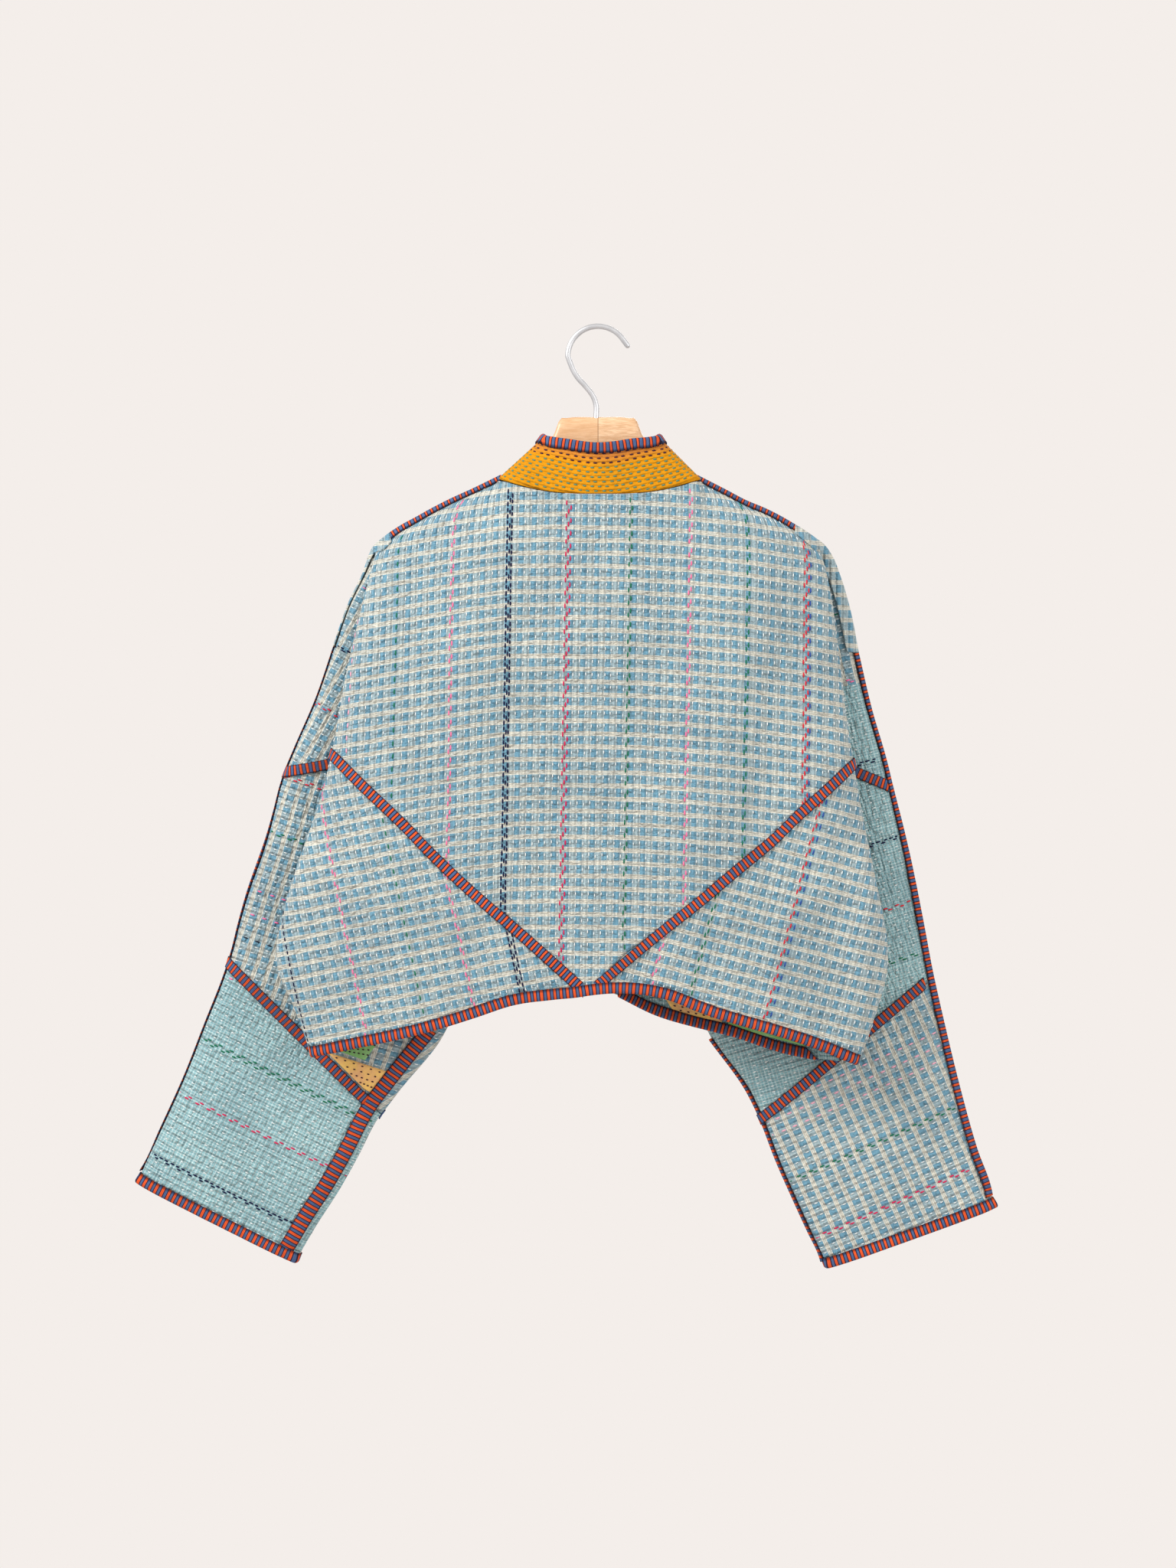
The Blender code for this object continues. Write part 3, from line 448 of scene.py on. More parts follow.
# Panels: arrays of points, rows by columns. A panel's first and last rows keep these distances from
# their neighbours, and its others crowd towards its top by this power.
TOP_ROW, LOW_ROW = 8.0, 9.0
YOKE_ROWS = 9
YOKE_CROWDING = 1.35


def down_rows(top, low, first, last, count, power=1.0):
    """Heights down a panel: its edges, a row `first` below the top and one `last` above the low edge."""
    height = top - low
    first = min(first, 0.4 * height)
    last = min(last, 0.4 * height)
    inner = [mix(top - first, low + last, (i / (count - 3)) ** power) for i in range(count - 2)]
    return [top, *inner, low]


def yoke_side(side):
    """Half of the back yoke: columns from the centre to the fold and on round it to the valley."""
    columns = []
    for column in COLUMNS:
        top = back_top(side, column)[0]
        low = settle(
            lambda x, column=column: max(back_seam_z(side, x) + SLANT_GAP / 2, BACK_HEM(x)),
            lambda z, column=column: back_x(side, column, z),
        )
        heights = down_rows(top, low, TOP_ROW, LOW_ROW, YOKE_ROWS, YOKE_CROWDING)
        columns.append([back_point(side, column, z) for z in heights])
    top, low = side.under_z[0] + 3, side.under_z[1] + SEAM_GAP / 2
    ends = down_rows(top, low, TOP_ROW, LOW_ROW, YOKE_ROWS, YOKE_CROWDING)
    for share in WRAP:
        columns.append([
            wrap_point(side, fold_z, side.valley(end_z), end_z, share) for fold_z, end_z in zip(heights, ends)
        ])
    return np.array(columns).transpose(1, 0, 2)


def back_seam_z(side, x):
    """Height of the V seam, whose tip at the hem lies on the leaning middle line."""
    return side.back_seam(abs(x - centre_line(-624)) if abs(x) < 60 else abs(x))


def back_yoke():
    """The whole back yoke, from the left valley to the right one."""
    left, right = yoke_side(LEFT), yoke_side(RIGHT)
    return np.concatenate([left[:, :0:-1], right], axis=1)


def side_seam(side, gap):
    """The side seam from the fork to the hem corner. A positive gap moves it towards the back's side."""
    start = np.array([side.fork[0], side.fork[1] - 2])
    line = np.array(side.hem_corner) - start
    square = unit(np.array([-line[1], line[0]])) * gap
    return [tuple(start + line * i / SIDE_SEAM_ROWS + square) for i in range(SIDE_SEAM_ROWS + 1)]


def valley_rows(side, parts):
    """Heights of the sleeve's own rows where they meet the valley, down to the fork."""
    rows = sorted({row for part in parts for row in SLEEVE_ROWS[part] if row < FORK_ROW})
    return [sleeve_row(side, row)[3] for row in rows]


def lower_ends(side):
    """Hidden ends of a lower back's rows: down the valley to the fork, then out along the side seam."""
    heights = valley_rows(side, ["middle"])
    heights[0] -= SEAM_GAP / 2
    return [(side.valley(z) + SEAM_GAP / 2, z) for z in heights] + side_seam(side, SIDE_SEAM_GAP / 2)


def lower_back(side):
    """A lower back: from beside the hem's centre to the fold, and round it to the valley and side seam."""
    columns = []
    for column in COLUMNS[1:]:
        top = settle(lambda x: back_seam_z(side, x) - SLANT_GAP / 2, lambda z, c=column: back_x(side, c, z))
        low = settle(BACK_HEM, lambda z, c=column: back_x(side, c, z))
        heights = down_rows(top, low, 9.0, 10.0, len(lower_ends(side)))
        columns.append([back_point(side, column, z) for z in heights])
    for share in WRAP:
        columns.append([
            wrap_point(side, fold_z, end_out, end_z, share)
            for fold_z, (end_out, end_z) in zip(heights, lower_ends(side))
        ])
    return np.array(columns).transpose(1, 0, 2)


def front_shares():
    """Columns of the front, under the back's own columns along the shoulder."""
    span = VALLEY_TOP_X - FRONT_EDGE_X
    columns = COLUMNS[:SHOULDER_END_COLUMN + 1]
    return [*(max(0.0, TIP_X * share_of(column) - FRONT_EDGE_X) / span for column in columns), 1.0]


def front_low(side, share):
    """Height of the front yoke's low edge in a column."""
    return settle(lambda out: side.front_seam(out) + SLANT_GAP / 2, lambda z: front_out(side, share, z))


def front_yoke(side):
    """A front yoke: its last column lies on the sleeve's own rows, along the arm seam."""
    arm_rows = valley_rows(side, ["upper", "middle"])
    columns = []
    for share in front_shares():
        top = front_top(side, share)[0]
        low = front_low(side, share)
        heights = down_rows(top, low, TOP_ROW, LOW_ROW, len(arm_rows) + 2, 1.2)
        if share == 1.0:
            heights = [*heights[:2], *arm_rows[:-1], low]
        columns.append([front_point(side, share, z) for z in heights])
    return np.array(columns).transpose(1, 0, 2)


def lower_front(side):
    """A lower front: from the front edge to the side seam, below the front yoke."""
    ends = side_seam(side, -SIDE_SEAM_GAP / 2)
    shares = front_shares()
    corner = ends[0][0]
    slides = [front_out(side, share, front_low(side, share)) - mix(FRONT_EDGE_X, corner, share)
              for share in shares]
    rows = []
    for i, (end_out, end_z) in enumerate(ends):
        share_down = i / SIDE_SEAM_ROWS
        row = []
        for share, slide in zip(shares, slides):
            out = mix(FRONT_EDGE_X, end_out, share) + slide * (1 - share_down) ** 2
            z = front_row_z(side, out, share_down)
            z += (end_z - front_row_z(side, end_out, share_down)) * share ** 3 * min(i, 1)
            row.append(np.array([side.sign * out + front_shift(out, z), rear_y(side, out, z), z]))
        rows.append(row)
    return np.array(rows)


def front_row_z(side, out, share_down):
    """Height of the lower front a share of the way down from its seam to its hem."""
    return mix(side.front_seam(out) - SLANT_GAP / 2, FRONT_HEM(side.sign * out), share_down)


# Rows of the sleeve's three sections, and about how long a section is.
SLEEVE_ROWS = {
    "upper": (0, 0.08, 0.22, 0.42, 0.66, 0.9, 1),
    "middle": (1, 1.08, 1.2, 1.33, 1.45, 1.48, 1.62, 1.78, 1.93, 2),
    "cuff": (2, 2.06, 2.28, 2.52, 2.76, 2.93, 3),
}
SECTION_LENGTH = 190


def sleeve_panel(side, part, front):
    """Half of a sleeve section: the back from arm seam to under seam, or the front likewise."""
    rows = []
    stations = SLEEVE_ROWS[part]
    trim = SEAM_GAP / 2 / SECTION_LENGTH
    steps = [k / SLEEVE_COLUMNS for k in range(SLEEVE_COLUMNS + 1)]
    for i, row in enumerate(stations):
        row += trim if i == 0 else -trim if i == len(stations) - 1 and row < 3 else 0
        arm_ring, under_ring, gap = seam_rings(side, row)
        start, end = (2 + arm_ring - gap, under_ring + gap) if front else (arm_ring + gap, under_ring - gap)
        if row <= FORK_ROW:
            end = 1 + 1e-6 if front else 1.0
        rows.append([sleeve_point(side, row, mix(start, end, step)) for step in steps])
    return np.array(rows)


def collar_side(side):
    """Half of the collar, as three rows: its top edge, its middle and its base along the neckline."""
    stations = []
    for column in COLUMNS[:NECK_COLUMN + 1]:
        z, y = back_top(side, column)
        out = TIP_X * share_of(column)
        x = back_x(side, column, z)
        arc = neck_arc(out)
        top_y, top_z = mix(COLLAR_SIDE_Y, COLLAR_BACK_Y, arc), COLLAR_TOP_Z + COLLAR_RISE * (1 - arc)
        y = y if arc > 0.1 else ridge_y(x)
        stations.append((x, y, z, (COLLAR_TOP_X * out / NECK_X, top_y, top_z), 1 - arc))
    for share in reversed(front_shares()[:NECK_COLUMN]):
        z, y = front_top(side, share)
        out = mix(FRONT_EDGE_X, VALLEY_TOP_X, share)
        x = front_point(side, share, z)[0]
        top_y = mix(COLLAR_SIDE_Y, COLLAR_FRONT_Y, neck_arc(out, FRONT_NECK_POWER))
        lean = mix(FRONT_EDGE_X, COLLAR_TOP_X, (out - FRONT_EDGE_X) / (NECK_X - FRONT_EDGE_X))
        stations.append((x, y, z, (lean, top_y, z + COLLAR_FRONT_HEIGHT), 0.5))
    columns = []
    for x, y, z, (top_out, top_y, top_z), slope in stations:
        base = np.array([x, y, z])
        top = np.array([centre_line(-157) + side.sign * top_out, top_y, top_z])
        base = base + unit(top - base) * mix(*COLLAR_LIFT, slope)
        columns.append([top, mix(base, top, 0.5), base])
    return np.array(columns).transpose(1, 0, 2)


def collar():
    """The whole collar, from its left end in front round the back to its right end."""
    return np.concatenate([collar_side(LEFT)[:, :0:-1], collar_side(RIGHT)], axis=1)


# Bindings: strips on the panels' own edge points.


def facing(normals, outward):
    """Turns all normals of a strip together so that its middle one looks outward."""
    middle = normals[len(normals) // 2]
    return normals if np.dot(middle, outward) > 0 else -normals


# The least that a corner, a slanting edge or a roof over a seam may count for, so that none runs away.
LEAST_CORNER = 0.6
LEAST_SLANT = 0.5


def mitre(line):
    """How much further a corner of a bent strip is moved out than its straight runs."""
    runs = unit(np.diff(line, axis=0))
    half_turns = np.linalg.norm(runs[1:] + runs[:-1], axis=1) / 2
    return 1 / np.clip(np.concatenate([[1], half_turns, [1]]), LEAST_CORNER, 1)[:, None]


def seam_strip(edge_a, inside_a, edge_b, inside_b, outward, lay=LAY_GAP, half_a=TAPE_HALF):
    """Binding laid over a seam: three rows, each moved out from the panel under it."""
    middle = (edge_a + edge_b) / 2
    along = unit(np.gradient(middle, axis=0))
    rows, normals = [], []
    for edge, inside, turn, half in ((edge_a, inside_a, 1, half_a), (edge_b, inside_b, -1, TAPE_HALF)):
        way = unit(inside - edge)
        across = np.linalg.norm(np.cross(way, along), axis=1, keepdims=True)
        normals.append(facing(unit(np.cross(way, along)) * turn, outward))
        rows.append(edge + way * half / np.maximum(across, LEAST_SLANT))
    off = (CLOTH / 2 + lay + TAPE / 2) * mitre(middle)
    ridge = unit(normals[0] + normals[1])
    spread = np.maximum(np.sum(ridge * normals[0], axis=1, keepdims=True), LEAST_SLANT)
    dips = [np.sum((middle - edge) * normal, axis=1, keepdims=True)
            for edge, normal in zip((edge_a, edge_b), normals)]
    height = (off - np.minimum(*dips)) / spread
    return np.array([rows[0] + normals[0] * off, middle + ridge * height, rows[1] + normals[1] * off])


def seam_between(above, span_above, below, span_below, outward):
    """Binding on the seam between one panel's last row and the next one's first row."""
    edges = above[-1, span_above], above[-2, span_above], below[0, span_below], below[1, span_below]
    return seam_strip(*edges, outward)


def edge_strip(edge, inside, outward):
    """Binding folded over a free edge: four rows, a square U round the cloth."""
    along = unit(np.gradient(edge, axis=0))
    way = unit(edge - inside)
    normal = facing(unit(np.cross(along, way)), outward)
    slant = np.linalg.norm(np.cross(way, along), axis=1, keepdims=True)
    away = way / np.maximum(slant, LEAST_SLANT)
    off = normal * (CLOTH / 2 + LAY_GAP + TAPE / 2) * mitre(edge)
    leg = edge - away * EDGE_LEG
    tip = edge + away * (LAY_GAP + TAPE / 2)
    return np.array([leg + off, tip + off, tip - off, leg - off])


def joined_rows(parts, column):
    """One column of a sleeve's three sections, read down the whole sleeve without its doubled seam rows."""
    upper, middle, cuff = (part[:, column] for part in parts)
    return np.concatenate([upper, middle[1:], cuff[1:]])


def shoulder_strip(side, yoke, front, backs, fronts):
    """Binding from the neck along the shoulder seam, over its tip and down the top of the arm."""
    span = slice(NECK_COLUMN, SHOULDER_END_COLUMN + 1)
    top = seam_strip(yoke[0, span], yoke[1, span], front[0, span], front[1, span], (0, 0, 1))
    edges = [joined_rows(parts, column)[:-1] for parts in (backs, fronts) for column in (0, 1)]
    room = np.array([[side.arm(z) - side.fold(z)] for z in edges[0][:, 2]])
    half = np.clip(room * 0.5 - ARM_TAPE_CLEARANCE, ARM_TAPE_LEAST, TAPE_HALF)
    arm = seam_strip(*edges, (side.sign, 0, 0.3), CLOSE_LAY_GAP, half)
    tip = (top[:, -1:] + arm[:, :1]) / 2 + (side.sign * TIP_OUT, 0, TIP_UP)
    return np.concatenate([top, tip, arm], axis=1)


UNDER_TAPE_ROW = 6


def under_lines(backs, fronts):
    """Edges and insides of the under-arm seam from that row of the sleeve's middle section down."""
    first = len(SLEEVE_ROWS["upper"]) + UNDER_TAPE_ROW
    return [joined_rows(parts, column)[first:-1] for parts in (backs, fronts) for column in (-1, -2)]


def closed_ring(back_row, front_row):
    """The sleeve's back and front edge points as one closed loop, starting at the arm seam."""
    reach = [
        row[end] + unit(row[end] - row[beside]) * TURN_GAP / 2
        for row in (back_row, front_row) for end, beside in ((0, 1), (-1, -2))
    ]
    arm, under = (reach[0] + reach[2]) / 2, (reach[1] + reach[3]) / 2
    return np.concatenate([arm[None], back_row[1:-1], under[None], front_row[-2:0:-1]])


def ring_strip(edge, inside, outward):
    """An edge strip round a closed loop."""
    count = len(edge)
    strip = edge_strip(*(np.concatenate([loop] * 3) for loop in (edge, inside)), outward)
    quarter = count + count // 4
    flip = np.dot(strip[0, quarter] - strip[3, quarter], outward) < 0
    strip = strip[::-1] if flip else strip
    return strip[:, count:2 * count + 1]


# Soft drape. A fold is a soft trough (or a ridge, if its depth is negative) from one point of the
# hung garment to another: x, z of both ends, its depth towards the wall and its half width.
BACK_FOLDS = [
    (-188, -215, -132, -520, 4.0, 26), (-150, -240, -80, -560, -2.5, 24), (186, -215, 150, -500, 4.5, 24),
    (140, -250, 96, -520, -2.5, 26), (-60, -260, -40, -560, 2.0, 30), (52, -280, 40, -540, 2.2, 26),
    (-262, -440, -226, -660, 3.0, 16), (-190, -520, -168, -650, -3.0, 20), (244, -440, 214, -670, 3.4, 15),
    (176, -540, 164, -640, -3.0, 20), (-112, -560, -108, -632, 3.0, 16), (96, -560, 98, -634, 3.0, 16),
    (232, -560, 262, -640, -2.5, 12), (-282, -560, -246, -600, 2.2, 12),
]
FRONT_FOLDS = [
    (-150, -230, -70, -520, -4.0, 24), (150, -230, 70, -520, -4.0, 24), (-60, -300, -40, -560, -2.5, 22),
    (60, -300, 44, -560, -2.5, 22), (-170, -600, -150, -650, -3.0, 20), (170, -600, 150, -660, -3.0, 20),
]
SLEEVE_FOLDS = [
    (-322, -590, -230, -690, 1.6, 14), (-345, -660, -262, -770, 1.4, 18), (-400, -760, -330, -850, 1.2, 18),
    (300, -610, 232, -670, 1.6, 14), (318, -680, 206, -760, 1.4, 18), (352, -780, 250, -850, 1.2, 18),
    (-330, -480, -292, -560, 1.2, 14), (300, -500, 284, -580, 1.2, 14),
]
FOLD_MIDDLE = 0.6
FOLD_FADE = 0.28

# The small waves of the quilted cloth: their number, the depth of each, and their lengths.
RIPPLES = 16
RIPPLE_DEPTH = 0.14
RIPPLE_LENGTHS = (22, 70)


def small_waves(x, z, seed):
    """The small waves that hand quilting leaves in the cloth."""
    chance = np.random.default_rng(seed)
    turn = chance.uniform(0, math.pi, RIPPLES)
    length = chance.uniform(*RIPPLE_LENGTHS, RIPPLES)
    phase = chance.uniform(0, 2 * math.pi, RIPPLES)
    across, up = np.cos(turn) * 2 * math.pi / length, np.sin(turn) * 2 * math.pi / length
    return RIPPLE_DEPTH * np.sin(x[..., None] * across + z[..., None] * up + phase).sum(axis=-1)


def folds_at(folds, x, z):
    """Depth of all soft folds at points (x, z). A fold is full over its middle and fades at both ends."""
    depth = np.zeros_like(x)
    for x0, z0, x1, z1, deep, half in folds:
        run = np.array([x1 - x0, z1 - z0], float)
        length = np.hypot(*run)
        run /= length
        share = ((x - x0) * run[0] + (z - z0) * run[1]) / length
        aside = (x - x0) * run[1] - (z - z0) * run[0]
        over = np.maximum(np.abs(share - 0.5) - FOLD_MIDDLE / 2, 0) / FOLD_FADE
        depth += deep * np.exp(-(aside / half) ** 2 - over ** 2)
    return depth


def grown(value, start, span):
    """0 up to a start and 1 from a span beyond it, with an even rise between them."""
    return np.clip((value - start) / span, 0, 1)


def hang(points, layer):
    """Points of one layer of the garment, moved by its folds and waves, so its seams stay shut.

    The weight holds a layer at the shoulders and at its turns, and lets its middle move freely."""
    x, y, z = points[..., 0], points[..., 1], points[..., 2]
    if layer == "back":
        weight = grown(-y, 6, 14) * grown(-z, 170, 60)
        move = folds_at(BACK_FOLDS, x, z) + small_waves(x, z, 3)
    elif layer == "front":
        weight = grown(y, 8, 10) * grown(-y, -26, 6) * grown(-z, 190, 60)
        move = folds_at(FRONT_FOLDS, x, z) - 0.5 + 0.7 * small_waves(x, z, 5)
    else:
        weight = grown(-z, 380, 120) * grown(np.abs(x), 150, 60)
        move = folds_at(SLEEVE_FOLDS, x, z) + 0.5 + 0.5 * small_waves(x, z, 7)
    moved = points.copy()
    moved[..., 1] += weight * move
    return moved


def lengths(points, axis):
    """How far along one axis of a line or a grid each of its points lies."""
    run = np.cumsum(np.linalg.norm(np.diff(points, axis=axis), axis=-1), axis=axis)
    return np.concatenate([np.zeros_like(run.take([0], axis)), run], axis=axis)


def finer(points, step, axis):
    """The same surface on smooth curves, with points about `step` millimetres apart along one axis."""
    lines = np.moveaxis(points, axis, 0)
    gaps = np.linalg.norm(np.diff(lines, axis=0), axis=-1).mean(axis=1)
    knots = np.concatenate([[0], np.cumsum(gaps)])
    slopes = np.gradient(lines, knots, axis=0)
    counts = [max(1, round((b - a) / step)) for a, b in zip(knots, knots[1:])]
    runs = [np.linspace(a, b, count, endpoint=False) for a, b, count in zip(knots, knots[1:], counts)]
    places = np.concatenate([*runs, knots[-1:]])
    i = np.clip(np.searchsorted(knots, places, side="right") - 1, 0, len(gaps) - 1)
    span = (knots[i + 1] - knots[i])[:, None, None]
    t = (places - knots[i])[:, None, None] / span
    start = lines[i] * (1 + 2 * t) * (1 - t) ** 2 + slopes[i] * span * t * (1 - t) ** 2
    end = lines[i + 1] * t ** 2 * (3 - 2 * t) + slopes[i + 1] * span * t ** 2 * (t - 1)
    return np.moveaxis(start + end, 0, axis)


# The yoke's cross stripes hang lower towards its sides: how much lower, against X.
STRIPE_DROP = [(-260, 31), (-200, 20.5), (-140, 10), (-84, 1.5), (-40, 0), (40, 0), (90, 2.5), (140, 6),
               (200, 13), (240, 19)]


def stripe_drop(x):
    """How far the cross stripes of the yoke hang below their height at its middle."""
    keys, drops = zip(*STRIPE_DROP)
    return np.interp(x, keys, drops)


def dense(points, step, row_step):
    """The same surface, finer along its rows by one step and across them by another."""
    return finer(finer(points, row_step, 0), step, 1)


# Flat layout of a panel.


class Panel:
    """A cloth panel: its points, its layout in millimetres and its outward normals.

    `lean` is how far the cloth's own down direction is turned from straight down, in degrees, towards
    +X. On a sleeve the stitches run across, so `turned` swaps the two directions of the layout."""

    def __init__(self, name, points, layer, lean=0.0, turned=False, start=0, sign=1, outward=TO_VIEWER):
        self.name = name
        self.turned = turned
        self.points = hang(dense(points, CLOTH_STEP, CLOTH_STEP), layer)
        angle = math.radians(lean)
        self.down = np.array([math.sin(angle), 0, -math.cos(angle)])
        self.side = sign * np.array([math.cos(angle), 0, math.sin(angle)])
        steps = np.diff(self.points, axis=1)
        steps = steps - (steps @ self.down)[..., None] * self.down
        run = np.cumsum(np.linalg.norm(steps, axis=-1), axis=1)
        unrolled = np.concatenate([np.zeros((len(run), 1)), run], axis=1)
        start = round(start * (self.points.shape[1] - 1))
        unrolled += (self.points[:, start] @ self.side - unrolled[:, start])[:, None]
        straight = self.points @ self.down
        if name == "back_yoke":
            straight = straight - stripe_drop(self.points[..., 0])
        self.across, self.along = (straight, unrolled) if turned else (unrolled, straight)
        self.normals = unit(np.cross(np.gradient(self.points, axis=1), np.gradient(self.points, axis=0)))
        middle = self.normals[len(self.points) // 2, self.points.shape[1] // 2]
        if np.dot(middle, outward) < 0:
            self.normals = -self.normals

    def line_through(self, place):
        """The `across` value of the quilting line through a point (x, z)."""
        point = np.array([place[0], 0, place[1]], float)
        return float(point @ (self.down if self.turned else self.side))

    def stitches_on(self, across, starts, length):
        """Start and end points and normals of stitches on one quilting line, clear of the panel's edges."""
        grids = [self.across, self.along, *np.moveaxis(self.points, -1, 0), *np.moveaxis(self.normals, -1, 0)]
        if self.turned:
            grids = [grid.T for grid in grids]
        keys = grids[0]
        order = 1 if keys[0, -1] > keys[0, 0] else -1
        keys = keys[:, ::order]
        on_line = [i for i in range(len(keys)) if keys[i].min() + 2 < across < keys[i].max() - 2]
        if len(on_line) < 2:
            return None
        line = np.array([[np.interp(across, keys[i], grid[i, ::order]) for grid in grids[1:]]
                         for i in on_line])
        if line[-1, 0] < line[0, 0]:
            line = line[::-1]
        inside = starts[(starts > line[0, 0] + EDGE_ROOM) & (starts + length < line[-1, 0] - EDGE_ROOM)]
        if not len(inside):
            return None
        read = [np.stack([np.interp(inside + far, line[:, 0], line[:, k]) for k in range(1, 7)], axis=1)
                for far in (0, length)]
        return read[0][:, :3], read[1][:, :3], unit(read[0][:, 3:] + read[1][:, 3:])


# Step between points of a panel.
CLOTH_STEP = 4.0

# The white quilting: distance between rows, from stitch to stitch, and a stitch's length.
ROW_SPACING = 5.9
STITCH_PITCH = 12.0
STITCH_LENGTH = 3.8

# A thread's half width and height, how far its middle lies above the cloth, and the room that
# stitches leave at a panel's edge and beside a coloured line.
THREAD_HALF = 0.50
THREAD_HEIGHT = 0.55
THREAD_LIFT = 0.1
EDGE_ROOM = 2.5
LINE_ROOM = 0.62 * ROW_SPACING

# How uneven hand sewing is: each stitch slips along its row, every other row is set on a little,
# and rows wander and differ in the length of their stitches.
STITCH_SLIP = 0.9
LINE_SLIP = 0.5
ROW_STAGGER = 1.2
ROW_WANDER = 0.35
LENGTH_SPREAD = 0.4

# The coloured lines, with longer stitches of thicker thread. In this colour they are set closer.
LINE_ROWS_APART = 2.1
LINE_STITCH = 5.8
LINE_THREAD_HALF = 0.90
CLOSE_SET = "navy"

THREADS = {
    "white": (0.84, 0.87, 0.85), "pink": (0.88, 0.19, 0.36), "light_pink": (0.86, 0.42, 0.52),
    "navy": (0.006, 0.007, 0.045), "crimson": (0.60, 0.025, 0.10), "green": (0.012, 0.16, 0.085),
    "red": (0.62, 0.03, 0.05), "sage": (0.10, 0.24, 0.15), "plum": (0.045, 0.012, 0.035),
    "blue": (0.03, 0.08, 0.33), "dark": (0.02, 0.03, 0.05),
}


class Stitching:
    """Stitches gathered for one mesh."""

    def __init__(self):
        self.starts, self.ends, self.normals, self.colours, self.halves = [], [], [], [], []

    def add(self, found, colour, half=THREAD_HALF):
        if found is None:
            return
        starts, ends, normals = found
        self.starts.append(starts)
        self.ends.append(ends)
        self.normals.append(normals)
        self.colours.append(np.tile((*THREADS[colour], 1), (len(starts), 1)))
        self.halves.append(np.full(len(starts), half))


def quilt(panel, lines, seed):
    """White running stitches over a panel, and its coloured lines: (place, colour, rows)."""
    chance = np.random.default_rng(seed)
    sewn = Stitching()
    lines = [(panel.line_through(place), colour, rows) for place, colour, rows in lines]
    low, high = panel.across.min(), panel.across.max()
    first, last = panel.along.min(), panel.along.max()
    beats = np.arange(math.floor(first / STITCH_PITCH), last / STITCH_PITCH + 1) * STITCH_PITCH
    for k in range(math.floor(low / ROW_SPACING), math.ceil(high / ROW_SPACING) + 1):
        across = k * ROW_SPACING
        if any(abs(across - line) < LINE_ROOM for line, *_ in lines):
            continue
        starts = beats + chance.uniform(-STITCH_SLIP, STITCH_SLIP, len(beats)) + ROW_STAGGER * (k % 2)
        across += chance.uniform(-ROW_WANDER, ROW_WANDER)
        length = STITCH_LENGTH + chance.uniform(-LENGTH_SPREAD, LENGTH_SPREAD)
        sewn.add(panel.stitches_on(across, starts, length), "white")
    for line, colour, rows in lines:
        for row in range(rows):
            across = line + (row - (rows - 1) / 2) * LINE_ROWS_APART
            starts = beats + (rows - 1 - row) * STITCH_PITCH / 3
            starts = starts + chance.uniform(-LINE_SLIP, LINE_SLIP, len(beats))
            sewn.add(panel.stitches_on(across, starts, LINE_STITCH), colour, LINE_THREAD_HALF)
            if colour == CLOSE_SET and row % 2 == 0:
                between = panel.stitches_on(across, starts + STITCH_PITCH / 2, LINE_STITCH * 0.8)
                sewn.add(between, colour, LINE_THREAD_HALF)
    return sewn


# Meshes.


def add_object(name, data):
    made = bpy.data.objects.new(name, data)
    bpy.context.scene.collection.objects.link(made)
    return made


def put(name, mesh, finish, node_name, whole=True):
    """A finished piece on the body. A whole one replaces its node, which is hidden."""
    mesh.materials.append(finish)
    made = add_object(name, mesh)
    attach(made, "root")
    if whole:
        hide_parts(node_name)
    return made


def surface(name, points, layout):
    """A smooth mesh through a grid of points in millimetres, with its layout as the UV map in metres."""
    rows, columns = points.shape[:2]
    grid = bmesh.new()
    flat = grid.loops.layers.uv.new("cloth")
    bmesh.ops.create_grid(grid, x_segments=columns - 1, y_segments=rows - 1, size=0.5)
    place = {}
    for vertex in grid.verts:
        u, v = vertex.co.x + 0.5, vertex.co.y + 0.5
        place[vertex] = (round(v * (rows - 1)), round(u * (columns - 1)))
    for face in grid.faces:
        for loop in face.loops:
            loop[flat].uv = layout[place[loop.vert]] * MM
    for vertex, spot in place.items():
        vertex.co = points[spot] * MM
    mesh = bpy.data.meshes.new(name)
    grid.to_mesh(mesh)
    grid.free()
    mesh.shade_smooth()
    return mesh


def give_thickness(piece, thickness):
    wall = piece.modifiers.new("thickness", "SOLIDIFY")
    wall.thickness = thickness * MM
    wall.offset = 0


WELD_REACH = 0.00005


def weld(mesh, solid=False):
    """Joins the two ends of a strip that runs round, and fills the open ends of a solid one."""
    joined = bmesh.new()
    joined.from_mesh(mesh)
    bmesh.ops.remove_doubles(joined, verts=joined.verts, dist=WELD_REACH)
    if solid:
        bmesh.ops.holes_fill(joined, edges=joined.edges)
        bmesh.ops.recalc_face_normals(joined, faces=joined.faces)
    joined.to_mesh(mesh)
    joined.free()


